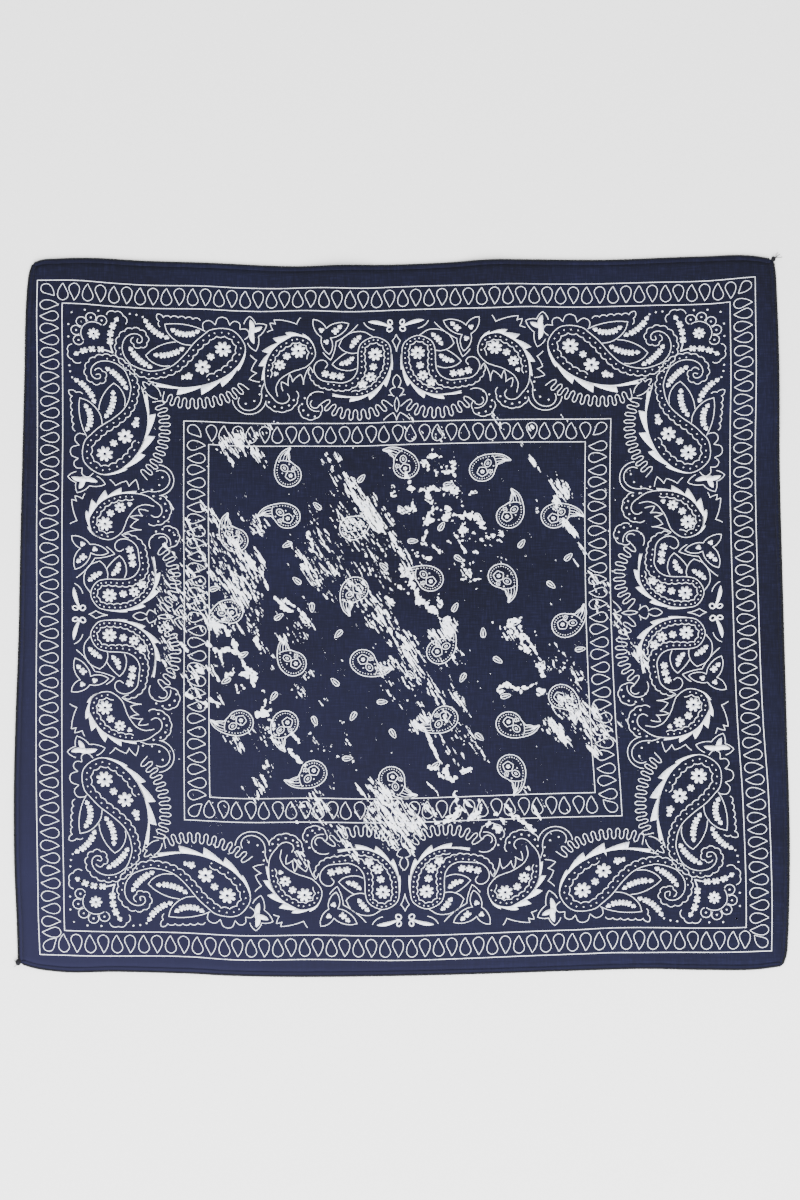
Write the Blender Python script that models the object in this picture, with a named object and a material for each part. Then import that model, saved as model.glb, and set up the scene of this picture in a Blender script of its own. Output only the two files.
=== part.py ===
"""Cotton bandana laid flat: a printed panel, four rolled hems and two thread knots.

Units are metres and +Z is up. The origin is under the middle of the cloth, on the surface
that it lies on. The cloth lies square to X and Y, with its top edge towards +Y.
"""

import math

import bmesh
import bpy
import numpy as np
from mathutils import Vector
from mathutils.geometry import delaunay_2d_cdt

# Driving sizes
CLOTH_WALL = 0.0010        # thickness of the cloth wall
HEM_WIDTH = 0.0036         # across the rolled edge
HEM_HEIGHT = 0.0019        # the roll stands a little above the cloth
SEAM_GAP = 0.0003          # free space between neighbouring pieces
PANEL_GAP = 0.00039        # between the panel and the hems, which slant where an edge bows
MITRE_GAP = 0.00027        # each hem's share of the free space at a mitred corner
EDGE_STEPS = 52            # stations along each edge
STATION_CROWDING = 0.75    # how much closer together the stations are at the corners
PANEL_STEPS = 37           # steps across the inside of the panel
KNOT_SIDES = 14            # sides round a knot
KNOT_RINGS = 8             # rings from its foot to its top
KNOT_FULLNESS = 0.7        # 1 gives a plain ellipse, and less gives fuller sides
SAME_PLACE = 1e-7          # points nearer than this, in shares of a side, are one point

MM = 0.001

# The four corners of the cloth as it lies, in mm, before it is centred on the origin.
CORNERS = {
    "top_left": (-271.4, 275.6),
    "top_right": (273.8, 278.9),
    "bottom_right": (272.5, -273.5),
    "bottom_left": (-274.2, -271.4),
}

# How far each edge bows out from the straight line between its two corners.
# Columns: share of the way along the edge, mm outwards.
TOP_BOW = (
    (0.000, 0.0), (0.011, 2.4), (0.033, 3.5), (0.075, 3.9), (0.150, 1.3), (0.230, -0.4),
    (0.350, -3.8), (0.480, -3.0), (0.540, -1.9), (0.620, 0.5), (0.780, 0.1), (0.900, 2.3),
    (0.975, 2.5), (1.000, 0.0),
)
BOTTOM_BOW = (
    (0.000, 0.0), (0.022, 3.8), (0.052, 6.2), (0.130, 6.2), (0.200, 7.2), (0.300, 9.2),
    (0.500, 8.5), (0.600, 6.9), (0.720, 4.3), (0.820, 2.5), (0.900, 3.1), (0.970, 2.4),
    (1.000, 0.0),
)
LEFT_BOW = (
    (0.000, 0.0), (0.060, 1.5), (0.120, 3.5), (0.260, 5.5), (0.340, 5.3), (0.460, 4.4),
    (0.580, 4.5), (0.830, 4.1), (0.940, 3.9), (0.970, 3.2), (0.988, 2.0), (1.000, 0.0),
)
RIGHT_BOW = (
    (0.000, 0.0), (0.012, 2.4), (0.040, 4.0), (0.080, 5.0), (0.200, 6.1), (0.300, 5.3),
    (0.500, 3.7), (0.700, 2.4), (0.860, 2.9), (0.940, 2.0), (0.985, 1.0), (1.000, 0.0),
)

# Soft ridges where the cloth stands clear of the surface.
# Columns: one end x and y, other end x and y, half width, height, all in mm.
RIDGES = (
    (-36, 286, -78, 226, 30, 2.4),
    (-262, -30, -268, -196, 24, 1.6),
    (-236, -252, -150, -268, 26, 1.5),
    (262, -186, 150, -250, 26, 2.2),
    (-60, -40, -56, -122, 34, 1.4),
    (176, 10, 164, -66, 28, 1.6),
    (158, 118, 184, 170, 26, 1.3),
    (256, 246, 276, 150, 22, 1.5),
    (-262, 236, -244, 160, 24, 1.2),
    (60, 284, 96, 236, 26, 1.3),
)

# Section of the rolled hem. Columns: share of the width from the outer edge, share of the height.
HEM_SECTION = ((0.06, 0.0), (0.94, 0.0), (1.0, 0.5), (0.72, 1.0), (0.25, 0.95), (0.0, 0.5))

# The thread knots. Columns: name, corner, radius in mm, height in mm.
KNOTS = (
    ("knot_top_right", "top_right", 2.6, 3.4),
    ("knot_bottom_left", "bottom_left", 3.3, 4.2),
)

NAVY_COTTON = (0.023, 0.030, 0.061)
DARK_THREAD = (0.008, 0.009, 0.014)


def smooth_table(table, share):
    """Reads a table of (share, value) rows with a smooth curve through its rows."""
    at, value = np.array(table, float).T
    slope = np.gradient(value, at)
    row = np.clip(np.searchsorted(at, share, side="right") - 1, 0, len(at) - 2)
    span = at[row + 1] - at[row]
    t = (share - at[row]) / span
    rise = value[row + 1] - value[row]
    start = span * slope[row] - rise
    end = rise - span * slope[row + 1]
    return value[row] + t * rise + t * (1 - t) * (start * (1 - t) + end * t)


def edge_line(start, end, bow, out, share):
    """Points in mm along a bowed edge, at the given shares of the way from start to end."""
    a, b = np.array(CORNERS[start]), np.array(CORNERS[end])
    share = np.asarray(share, float)
    straight = a + (b - a) * share[..., None]
    return straight + np.array(out) * smooth_table(bow, share)[..., None]


def laid(across, up):
    """Where a point of the square lies, in mm. across and up run from 0 to 1 over the cloth."""
    across, up = np.broadcast_arrays(np.asarray(across, float), np.asarray(up, float))
    bottom = edge_line("bottom_left", "bottom_right", BOTTOM_BOW, (0, -1), across)
    top = edge_line("top_left", "top_right", TOP_BOW, (0, 1), across)
    left = edge_line("bottom_left", "top_left", LEFT_BOW, (-1, 0), up)
    right = edge_line("bottom_right", "top_right", RIGHT_BOW, (1, 0), up)
    u, v = across[..., None], up[..., None]
    low = (1 - u) * np.array(CORNERS["bottom_left"]) + u * np.array(CORNERS["bottom_right"])
    high = (1 - u) * np.array(CORNERS["top_left"]) + u * np.array(CORNERS["top_right"])
    between_edges = (1 - v) * bottom + v * top + (1 - u) * left + u * right
    return between_edges - (1 - v) * low - v * high


def lift(points):
    """How far the underside stands clear of the surface, in mm, at points in mm."""
    height = np.zeros(points.shape[:-1])
    for x0, y0, x1, y1, half_width, crest in RIDGES:
        start, run = np.array((x0, y0), float), np.array((x1 - x0, y1 - y0), float)
        along = np.clip((points - start) @ run / (run @ run), 0, 1)
        away = np.linalg.norm(points - start - along[..., None] * run, axis=-1)
        wave = 0.5 + 0.5 * np.cos(math.pi * np.minimum(away / half_width, 1))
        height = np.maximum(height, crest * wave)
    return height


def stations():
    """Shares along an edge, closer together towards both corners."""
    even = np.arange(EDGE_STEPS + 1) / EDGE_STEPS
    return even - STATION_CROWDING * np.sin(2 * math.pi * even) / (2 * math.pi)


# The sizes of the lying cloth, and the shift that centres it on the origin.
STATIONS = stations()
OUTLINE = np.concatenate(
    [laid(STATIONS, 0.0), laid(STATIONS, 1.0), laid(0.0, STATIONS), laid(1.0, STATIONS)]
)
LOWEST, HIGHEST = OUTLINE.min(axis=0), OUTLINE.max(axis=0)
MIDDLE = (LOWEST + HIGHEST) / 2
SIDE = float((HIGHEST - LOWEST).mean()) * MM


def place(across, up, height):
    """World points of the square at a height above the underside of the cloth."""
    flat = laid(across, up)
    risen = lift(flat) * MM + height
    return np.concatenate([(flat - MIDDLE) * MM, np.atleast_1d(risen)[..., None]], axis=-1)


def cotton_material(name, colour, roughness):
    """A plain cotton finish."""
    material = bpy.data.materials.new(name)
    material.use_nodes = True
    shader = material.node_tree.nodes["Principled BSDF"]
    shader.inputs["Base Color"].default_value = (*colour, 1.0)
    shader.inputs["Roughness"].default_value = roughness
    shader.inputs["Metallic"].default_value = 0.0
    return material


def add_object(name, points, faces, colour, roughness, sharp_angle=40.0):
    """One named piece with its own material, shaded smooth except at sharp edges."""
    mesh = bpy.data.meshes.new(name)
    mesh.from_pydata([tuple(point) for point in points], [], faces)
    built = bmesh.new()
    built.from_mesh(mesh)
    bmesh.ops.triangulate(built, faces=built.faces)
    bmesh.ops.recalc_face_normals(built, faces=built.faces)
    built.to_mesh(mesh)
    built.free()
    mesh.shade_smooth()
    mesh.set_sharp_from_angle(angle=math.radians(sharp_angle))
    mesh.materials.append(cotton_material(name, colour, roughness))
    piece = bpy.data.objects.new(name, mesh)
    bpy.context.scene.collection.objects.link(piece)
    return piece


def build_panel():
    """The square of cloth inside the hems: a wall with its top and underside alike."""
    inset = (HEM_WIDTH + PANEL_GAP) / SIDE
    along = inset + (1 - 2 * inset) * STATIONS[:-1]
    zero, one = np.full(EDGE_STEPS, inset), np.full(EDGE_STEPS, 1 - inset)
    rim = np.concatenate([
        np.stack([along, zero], 1),
        np.stack([one, along], 1),
        np.stack([1 - along, one], 1),
        np.stack([zero, 1 - along], 1),
    ])
    steps = (np.arange(1, PANEL_STEPS) / PANEL_STEPS) * (1 - 2 * inset) + inset
    inner = np.stack(np.meshgrid(steps, steps), -1).reshape(-1, 2)
    flat = np.concatenate([rim, inner])
    rim_edges = [(i, (i + 1) % len(rim)) for i in range(len(rim))]
    corners = [Vector(point) for point in flat]
    points, _, triangles, order, _, _ = delaunay_2d_cdt(corners, rim_edges, [], 1, SAME_PLACE)
    spots = np.array(points)
    count = len(spots)
    under = place(spots[:, 0], spots[:, 1], 0.0)
    over = place(spots[:, 0], spots[:, 1], CLOTH_WALL)
    new_index = {old: new for new, olds in enumerate(order) for old in olds}
    faces = [tuple(count + i for i in triangle) for triangle in triangles]
    faces += [tuple(reversed(triangle)) for triangle in triangles]
    for a, b in rim_edges:
        a, b = new_index[a], new_index[b]
        faces.append((a, b, count + b, count + a))
    return add_object("panel", np.concatenate([under, over]), faces, NAVY_COTTON, 0.85)


def build_hem(name, at, start_stop, end_stop):
    """A rolled hem along one edge, mitred to its neighbours or stopped short of a knot.

    at(along, inward) gives across and up on the square. The stops are in metres.
    """
    rings = []
    for inward_share, height_share in HEM_SECTION:
        inward = inward_share * HEM_WIDTH
        first = max(inward + MITRE_GAP, start_stop) / SIDE
        last = 1 - max(inward + MITRE_GAP, end_stop) / SIDE
        across, up = at(first + (last - first) * STATIONS, inward / SIDE)
        rings.append(place(across, up, height_share * HEM_HEIGHT))
    sides = len(rings)
    points = np.stack(rings, axis=1).reshape(-1, 3)
    faces = [tuple(range(sides)), tuple(EDGE_STEPS * sides + i for i in range(sides))]
    for step in range(EDGE_STEPS):
        for side in range(sides):
            a = step * sides + side
            b = step * sides + (side + 1) % sides
            faces.append((a, b, b + sides, a + sides))
    return add_object(name, points, faces, DARK_THREAD, 0.8, 60.0)


def build_knot(name, corner, radius, height):
    """A small thread knot that lies on the surface at a corner of the cloth."""
    centre = (np.array(CORNERS[corner]) - MIDDLE) * MM
    profile = [math.pi * ring / KNOT_RINGS for ring in range(1, KNOT_RINGS)]
    points = [(centre[0], centre[1], 0.0)]
    for turn_down in profile:
        wide = radius * MM * math.sin(turn_down) ** KNOT_FULLNESS
        high = height * MM * (0.5 - 0.5 * math.cos(turn_down))
        for side in range(KNOT_SIDES):
            angle = 2 * math.pi * side / KNOT_SIDES
            points.append(
                (centre[0] + wide * math.cos(angle), centre[1] + wide * math.sin(angle), high)
            )
    points.append((centre[0], centre[1], height * MM))
    top = len(points) - 1
    faces = []
    for side in range(KNOT_SIDES):
        after = (side + 1) % KNOT_SIDES
        faces.append((0, 1 + after, 1 + side))
        for ring in range(len(profile) - 1):
            low = 1 + ring * KNOT_SIDES
            high = low + KNOT_SIDES
            faces.append((low + side, low + after, high + after, high + side))
        last = 1 + (len(profile) - 1) * KNOT_SIDES
        faces.append((last + side, last + after, top))
    return add_object(name, points, faces, DARK_THREAD, 0.75, 60.0)


for old_object in list(bpy.data.objects):
    bpy.data.objects.remove(old_object)

KNOT_STOP = {corner: radius * MM + SEAM_GAP for _, corner, radius, _ in KNOTS}

build_panel()
build_hem("hem_top", lambda along, inward: (along, 1 - inward), 0.0, KNOT_STOP["top_right"])
build_hem("hem_bottom", lambda along, inward: (along, inward), KNOT_STOP["bottom_left"], 0.0)
build_hem("hem_left", lambda along, inward: (inward, along), KNOT_STOP["bottom_left"], 0.0)
build_hem("hem_right", lambda along, inward: (1 - inward, along), 0.0, KNOT_STOP["top_right"])
for knot_name, knot_corner, knot_radius, knot_height in KNOTS:
    build_knot(knot_name, knot_corner, knot_radius, knot_height)
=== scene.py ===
import math

import bpy
import numpy as np
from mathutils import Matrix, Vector


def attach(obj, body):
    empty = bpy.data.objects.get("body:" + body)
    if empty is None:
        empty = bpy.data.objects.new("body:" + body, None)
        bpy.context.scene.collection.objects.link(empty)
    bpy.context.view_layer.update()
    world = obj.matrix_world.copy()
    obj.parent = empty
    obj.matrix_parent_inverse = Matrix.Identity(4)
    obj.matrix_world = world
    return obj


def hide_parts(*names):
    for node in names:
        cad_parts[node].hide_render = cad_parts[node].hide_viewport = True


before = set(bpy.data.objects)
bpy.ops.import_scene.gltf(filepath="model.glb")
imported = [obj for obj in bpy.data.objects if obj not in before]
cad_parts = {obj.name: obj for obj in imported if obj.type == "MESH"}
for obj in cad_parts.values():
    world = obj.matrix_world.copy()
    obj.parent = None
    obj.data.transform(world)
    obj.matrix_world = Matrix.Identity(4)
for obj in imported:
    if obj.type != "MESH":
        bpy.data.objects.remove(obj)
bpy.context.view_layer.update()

# ---------------------------------------------------------------------------------------
# The surface, the camera and the light
# ---------------------------------------------------------------------------------------
# The bandana lies on a plain pale board, seen from high in front through a long lens.
# A big soft light hangs overhead and a little in front, so that it throws hardly a shadow.

MM = 0.001


def linear(hex_colour):
    """An sRGB hex colour as the linear colour that a shader wants."""
    parts = [int(hex_colour[i:i + 2], 16) / 255 for i in (1, 3, 5)]
    return (*[p / 12.92 if p <= 0.04045 else ((p + 0.055) / 1.055) ** 2.4 for p in parts], 1.0)


def add_node(tree, kind, settings=None, links=None):
    """One shader node with its settings and its links. A setting names a socket or a property.
    The stops of a colour ramp are rows of (place, hex colour)."""
    node = tree.nodes.new(kind)
    for name, value in (settings or {}).items():
        if name == "stops":
            for place, colour in value:
                stop = node.color_ramp.elements.new(place)
                stop.color = linear(colour)
            for unused in (-1, 0):
                node.color_ramp.elements.remove(node.color_ramp.elements[unused])
        elif isinstance(name, int) or name in node.inputs:
            node.inputs[name].default_value = value
        else:
            setattr(node, name, value)
    for name, socket in (links or {}).items():
        tree.links.new(socket, node.inputs[name])
    return node


def new_finish(name, roughness, **settings):
    """A material with one Principled shader. Returns the material, its tree and the shader."""
    finish = bpy.data.materials.new(name)
    finish.use_nodes = True
    tree = finish.node_tree
    shader = tree.nodes["Principled BSDF"]
    shader.inputs["Roughness"].default_value = roughness
    for socket, value in settings.items():
        shader.inputs[socket.replace("_", " ")].default_value = value
    return finish, tree, shader


def take_up(name):
    """Names the object that was just added, and gives back the object."""
    piece = bpy.context.object
    piece.name = name
    piece.data.name = name
    return piece


def settle(piece):
    """Leaves the piece at the origin, unturned and unscaled, with its place in its mesh."""
    bpy.ops.object.select_all(action="DESELECT")
    piece.select_set(True)
    bpy.context.view_layer.objects.active = piece
    bpy.ops.object.transform_apply(location=True, rotation=True, scale=True)


BOARD_SIZE = 6.0
BOARD_DROP = 0.0003

bpy.ops.object.select_all(action="DESELECT")
bpy.ops.mesh.primitive_plane_add(size=BOARD_SIZE, location=(0, 0, -BOARD_DROP))
board = take_up("studio_board")
settle(board)

# Matt painted board: even and pale, with a faint rolled grain of about 2 mm.
board_paint, tree, shader = new_finish("matt_painted_board", 0.9, Specular_IOR_Level=0.2)
where = add_node(tree, "ShaderNodeTexCoord").outputs["Object"]
grain = add_node(tree, "ShaderNodeTexNoise", {"Scale": 500.0, "Detail": 2.0}, {"Vector": where})
tone = add_node(
    tree, "ShaderNodeValToRGB", {"stops": ((0.3, "#f4f4f4"), (0.7, "#f8f8f8"))},
    {"Fac": grain.outputs["Fac"]},
)
tree.links.new(tone.outputs["Color"], shader.inputs["Base Color"])
board.data.materials.append(board_paint)

VIEW_TILT = math.radians(68.0)
VIEW_REACH = 7.26
VIEW_CENTRE = Vector((-0.0012, 0.0088, 0.0))
LENS_MM = 300.0

bpy.ops.object.select_all(action="DESELECT")
bpy.ops.object.camera_add(
    location=VIEW_CENTRE + VIEW_REACH * Vector((0, -math.cos(VIEW_TILT), math.sin(VIEW_TILT))),
    rotation=(math.pi / 2 - VIEW_TILT, 0, 0),
)
camera = take_up("front_camera")
camera.data.lens = LENS_MM
camera.data.sensor_width = 36.0
camera.data.clip_end = 50.0
bpy.context.scene.camera = camera

# Columns: name, place in metres, size in metres, watts.
SOFT_LIGHTS = (
    ("front_softbox", (0.1, -2.05, 1.9), 2.2, 310.0),
    ("back_softbox", (-1.0, 1.7, 2.3), 1.8, 20.0),
)
for light_name, place_at, size, watts in SOFT_LIGHTS:
    bpy.ops.object.select_all(action="DESELECT")
    bpy.ops.object.light_add(type="AREA", location=place_at)
    light = take_up(light_name)
    light.data.shape = "SQUARE"
    light.data.size = size
    light.data.energy = watts
    aim = Vector((0, 0, 0)) - Vector(place_at)
    light.rotation_euler = aim.to_track_quat("-Z", "Y").to_euler()

AIR_STRENGTH = 1.15
studio_air = bpy.data.worlds.new("studio_air")
bpy.context.scene.world = studio_air
studio_air.use_nodes = True
air = studio_air.node_tree.nodes["Background"]
air.inputs["Color"].default_value = linear("#ffffff")
air.inputs["Strength"].default_value = AIR_STRENGTH

# ---------------------------------------------------------------------------------------
# The cloth
# ---------------------------------------------------------------------------------------
# One square of light plain-weave cotton, dyed indigo navy in the piece. It lies slack on
# the board: each edge bows a little, and a few soft ridges stand clear of the board.

CORNERS = {
    "top_left": (-271.4, 275.6),
    "top_right": (273.8, 278.9),
    "bottom_right": (272.5, -273.5),
    "bottom_left": (-274.2, -271.4),
}

# Columns: share of the way along the edge, mm outwards.
TOP_BOW = (
    (0.000, 0.0), (0.011, 2.4), (0.033, 3.5), (0.075, 3.9), (0.150, 1.3), (0.230, -0.4),
    (0.350, -3.8), (0.480, -3.0), (0.540, -1.9), (0.620, 0.5), (0.780, 0.1), (0.900, 2.3),
    (0.975, 2.5), (1.000, 0.0),
)
BOTTOM_BOW = (
    (0.000, 0.0), (0.022, 3.8), (0.052, 6.2), (0.130, 6.2), (0.200, 7.2), (0.300, 9.2),
    (0.500, 8.5), (0.600, 6.9), (0.720, 4.3), (0.820, 2.5), (0.900, 3.1), (0.970, 2.4),
    (1.000, 0.0),
)
LEFT_BOW = (
    (0.000, 0.0), (0.060, 1.5), (0.120, 3.5), (0.260, 5.5), (0.340, 5.3), (0.460, 4.4),
    (0.580, 4.5), (0.830, 4.1), (0.940, 3.9), (0.970, 3.2), (0.988, 2.0), (1.000, 0.0),
)
RIGHT_BOW = (
    (0.000, 0.0), (0.012, 2.4), (0.040, 4.0), (0.080, 5.0), (0.200, 6.1), (0.300, 5.3),
    (0.500, 3.7), (0.700, 2.4), (0.860, 2.9), (0.940, 2.0), (0.985, 1.0), (1.000, 0.0),
)

# Soft ridges. Columns: one end x and y, other end x and y, half width, height, all in mm.
RIDGES = (
    (-36, 286, -78, 226, 30, 2.4),
    (-262, -30, -268, -196, 24, 1.6),
    (-236, -252, -150, -268, 26, 1.5),
    (262, -186, 150, -250, 26, 2.2),
    (-60, -40, -56, -122, 34, 1.4),
    (176, 10, 164, -66, 28, 1.6),
    (158, 118, 184, 170, 26, 1.3),
    (256, 246, 276, 150, 22, 1.5),
    (-262, 236, -244, 160, 24, 1.2),
    (60, 284, 96, 236, 26, 1.3),
)

CLOTH_THICK = 0.45         # mm, two yarns deep
CLOTH_CLEAR = 0.05         # mm between the underside and the surface that it lies on
HEM_WIDTH = 3.6            # mm, as folded
WEAVE_CELLS = 126          # squares of the mesh across the cloth


def smooth(table, share):
    """Reads rows of (share, value) with a smooth curve through them. A value may be a point."""
    at = np.array([row[0] for row in table], float)
    value = np.array([row[1] for row in table], float)
    share = np.asarray(share, float)
    slope = np.gradient(value, at, axis=0)
    row = np.clip(np.searchsorted(at, share, side="right") - 1, 0, len(at) - 2)
    span = at[row + 1] - at[row]
    t = (share - at[row]) / span
    if value.ndim > 1:
        span, t = span[..., None], t[..., None]
    rise = value[row + 1] - value[row]
    start = span * slope[row] - rise
    end = rise - span * slope[row + 1]
    return value[row] + t * rise + t * (1 - t) * (start * (1 - t) + end * t)


def edge_line(start, end, bow, out, share):
    """Points in mm along a bowed edge, at the given shares of the way from start to end."""
    a, b = np.array(CORNERS[start]), np.array(CORNERS[end])
    share = np.asarray(share, float)
    straight = a + (b - a) * share[..., None]
    return straight + np.array(out) * smooth(bow, share)[..., None]


def laid(across, up):
    """Where a point of the square lies, in mm. across and up run from 0 to 1 over the cloth."""
    across, up = np.broadcast_arrays(np.asarray(across, float), np.asarray(up, float))
    bottom = edge_line("bottom_left", "bottom_right", BOTTOM_BOW, (0, -1), across)
    top = edge_line("top_left", "top_right", TOP_BOW, (0, 1), across)
    left = edge_line("bottom_left", "top_left", LEFT_BOW, (-1, 0), up)
    right = edge_line("bottom_right", "top_right", RIGHT_BOW, (1, 0), up)
    u, v = across[..., None], up[..., None]
    low = (1 - u) * np.array(CORNERS["bottom_left"]) + u * np.array(CORNERS["bottom_right"])
    high = (1 - u) * np.array(CORNERS["top_left"]) + u * np.array(CORNERS["top_right"])
    between_edges = (1 - v) * bottom + v * top + (1 - u) * left + u * right
    return between_edges - (1 - v) * low - v * high


MIDDLE = np.array((0.124, 0.118))    # mm, half way between the cloth's outermost places
SIDE = 560.6                         # mm, the mean of its width and its depth


def lift(points):
    """How far the underside stands clear of the board, in mm, at points in mm from the middle."""
    points = np.asarray(points, float) + MIDDLE
    height = np.zeros(points.shape[:-1])
    for x0, y0, x1, y1, half_width, crest in RIDGES:
        start, run = np.array((x0, y0), float), np.array((x1 - x0, y1 - y0), float)
        along = np.clip((points - start) @ run / (run @ run), 0, 1)
        away = np.linalg.norm(points - start - along[..., None] * run, axis=-1)
        wave = 0.5 + 0.5 * np.cos(math.pi * np.minimum(away / half_width, 1))
        height = np.maximum(height, crest * wave)
    return height


def on_cloth(flat, above):
    """World points in metres over points in mm, at a height in mm above the underside."""
    risen = lift(flat) + above
    return np.concatenate([flat, risen[..., None]], axis=-1) * MM


def recalculate(piece):
    """Turns all faces of a closed piece outwards."""
    bpy.ops.object.select_all(action="DESELECT")
    piece.select_set(True)
    bpy.context.view_layer.objects.active = piece
    bpy.ops.object.mode_set(mode="EDIT")
    bpy.ops.mesh.select_all(action="SELECT")
    bpy.ops.mesh.normals_make_consistent(inside=False)
    bpy.ops.object.mode_set(mode="OBJECT")


def thicken(piece, thickness_mm):
    """Gives an open sheet its thickness, downwards from its face."""
    wall = piece.modifiers.new("wall", "SOLIDIFY")
    wall.thickness = thickness_mm * MM
    wall.offset = -1.0
    bpy.context.view_layer.objects.active = piece
    bpy.ops.object.modifier_apply(modifier=wall.name)


bpy.ops.object.select_all(action="DESELECT")
bpy.ops.mesh.primitive_grid_add(
    x_subdivisions=WEAVE_CELLS, y_subdivisions=WEAVE_CELLS, size=1.0, location=(0, 0, 0)
)
cloth = take_up("cotton_square")
flat_square = np.zeros(len(cloth.data.vertices) * 3)
cloth.data.vertices.foreach_get("co", flat_square)
shares = flat_square.reshape(-1, 3)[:, :2] + 0.5
# Its edge is tucked into the folded hem.
TUCK = (HEM_WIDTH - 0.6) / SIDE
shares = TUCK + (1 - 2 * TUCK) * shares
laid_square = on_cloth(
    laid(shares[:, 0], shares[:, 1]) - MIDDLE, CLOTH_THICK + CLOTH_CLEAR
)
cloth.data.vertices.foreach_set("co", laid_square.ravel())
cloth.data.update()
thicken(cloth, CLOTH_THICK)
cloth.data.shade_smooth()

# Indigo cotton, plain weave: a matt, slightly chalky navy, paler where the yarns are thick.
# The real yarns lie 0.4 mm apart; they are drawn 1.2 mm apart, so that they can be seen.
YARN_PITCH = 0.0012
cotton, tree, shader = new_finish(
    "indigo_cotton_plain_weave", 0.95, Specular_IOR_Level=0.1,
    Sheen_Weight=0.02, Sheen_Roughness=0.6,
)
where = add_node(tree, "ShaderNodeTexCoord").outputs["Object"]


def weave_height(tree, where):
    """Plain weave from two crossing bands of yarns, a little uneven, as a height from 0 to 1."""
    uneven = add_node(
        tree, "ShaderNodeTexNoise", {"Scale": 160.0, "Detail": 3.0}, {"Vector": where}
    )
    bands = []
    for direction in ("X", "Y"):
        bands.append(add_node(
            tree, "ShaderNodeTexWave",
            {"wave_type": "BANDS", "bands_direction": direction,
             "Scale": math.pi / 10 / YARN_PITCH, "Distortion": 1.6, "Detail": 1.0,
             "Detail Scale": 1.5},
            {"Vector": where},
        ).outputs["Fac"])
    crossed = add_node(tree, "ShaderNodeMath", {"operation": "MAXIMUM"}, {0: bands[0], 1: bands[1]})
    return add_node(
        tree, "ShaderNodeMath", {"operation": "MULTIPLY"},
        {0: crossed.outputs[0], 1: uneven.outputs["Fac"]},
    ).outputs[0]


weave = weave_height(tree, where)
# Slubs: thick places in the yarn, long along it and thin across it, both ways of the cloth.
slubs = []
for stretch in ((90.0, 900.0, 1.0), (900.0, 90.0, 1.0)):
    laid_along = add_node(tree, "ShaderNodeMapping", {"Scale": stretch}, {"Vector": where})
    slubs.append(add_node(
        tree, "ShaderNodeTexNoise", {"Scale": 1.0, "Detail": 2.0, "Roughness": 0.6},
        {"Vector": laid_along.outputs["Vector"]},
    ).outputs["Fac"])
slub = add_node(tree, "ShaderNodeMath", {"operation": "ADD"}, {0: slubs[0], 1: slubs[1]})
# The dye took unevenly: soft paler clouds a hand's breadth across.
clouds = add_node(tree, "ShaderNodeTexNoise", {"Scale": 9.0, "Detail": 3.0}, {"Vector": where})
tone = add_node(
    tree, "ShaderNodeMath", {"operation": "MULTIPLY_ADD", 1: 0.5, 2: 0.0}, {0: slub.outputs[0]}
)
dyed = add_node(
    tree, "ShaderNodeValToRGB",
    {"stops": ((0.34, "#090a14"), (0.5, "#0d0e1d"), (0.66, "#17182f"))}, {"Fac": tone.outputs[0]},
)
hazed = add_node(
    tree, "ShaderNodeValToRGB", {"stops": ((0.35, "#0a0b16"), (0.7, "#13152c"))},
    {"Fac": clouds.outputs["Fac"]},
)
blend = add_node(
    tree, "ShaderNodeMix", {"data_type": "RGBA", "Factor": 0.35},
    {6: dyed.outputs["Color"], 7: hazed.outputs["Color"]},
)
# Painted sheen: the base colour grows lighter and bluer towards the lower left corner, standing in
# for the soft light that falls there, so the edges there are bluest.
downwards = add_node(
    tree, "ShaderNodeVectorMath", {"operation": "DOT_PRODUCT", 1: (-1.1, -1.5, 0.0)}, {0: where}
)
# How much painted sheen the base colour takes, growing towards the lower left.
painted_sheen_share = add_node(
    tree, "ShaderNodeMath", {"operation": "MULTIPLY_ADD", "use_clamp": True, 1: 1.2, 2: 0.02},
    {0: downwards.outputs["Value"]},
)
# The dye's tone, mixed with the painted sheen towards the lower left.
dye_and_painted_sheen = add_node(
    tree, "ShaderNodeMix", {"data_type": "RGBA", 7: linear("#1c1c31")},
    {0: painted_sheen_share.outputs[0], 6: blend.outputs[2]},
)
tree.links.new(dye_and_painted_sheen.outputs[2], shader.inputs["Base Color"])
bump = add_node(
    tree, "ShaderNodeBump", {"Strength": 0.5, "Distance": 0.0002}, {"Height": weave}
)
tree.links.new(bump.outputs["Normal"], shader.inputs["Normal"])
cloth.data.materials.append(cotton)
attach(cloth, "root")
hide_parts("panel")

# ---------------------------------------------------------------------------------------
# The hems
# ---------------------------------------------------------------------------------------
# Each edge is folded over into a narrow roll of the same cotton, three layers thick, and
# pressed. It reads as a low, raised band just inside the black edge stitching.

HEM_STEPS = 220
KNOT_RADIUS = {"top_right": 2.3, "bottom_left": 2.6}

# Section of the roll. Columns: mm from the outer edge, height in mm.
ROLL_SECTION = (
    (0.30, 0.10), (3.20, 0.10), (3.62, 0.55), (3.30, 1.00), (2.60, 1.28), (1.60, 1.36),
    (0.80, 1.20), (0.25, 0.75),
)

# Columns: name of the edge, the CAD hem it stands for, and where a point goes on the square.
EDGES = (
    ("top", "hem_top", lambda along, inward: (along, 1 - inward)),
    ("bottom", "hem_bottom", lambda along, inward: (along, inward)),
    ("left", "hem_left", lambda along, inward: (inward, along)),
    ("right", "hem_right", lambda along, inward: (1 - inward, along)),
)


def make_piece(name, points, faces):
    """A mesh piece from points in metres, shaded smooth."""
    mesh = bpy.data.meshes.new(name)
    mesh.from_pydata([tuple(point) for point in points], [], faces)
    piece = bpy.data.objects.new(name, mesh)
    bpy.context.scene.collection.objects.link(piece)
    mesh.shade_smooth()
    return piece


def hem_point(at, along_mm, inward_mm, above_mm):
    """World points of an edge, in mm along it, inwards from it and above the underside."""
    across, up = at(along_mm / SIDE, inward_mm / SIDE)
    return on_cloth(laid(across, up) - MIDDLE, above_mm)


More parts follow.
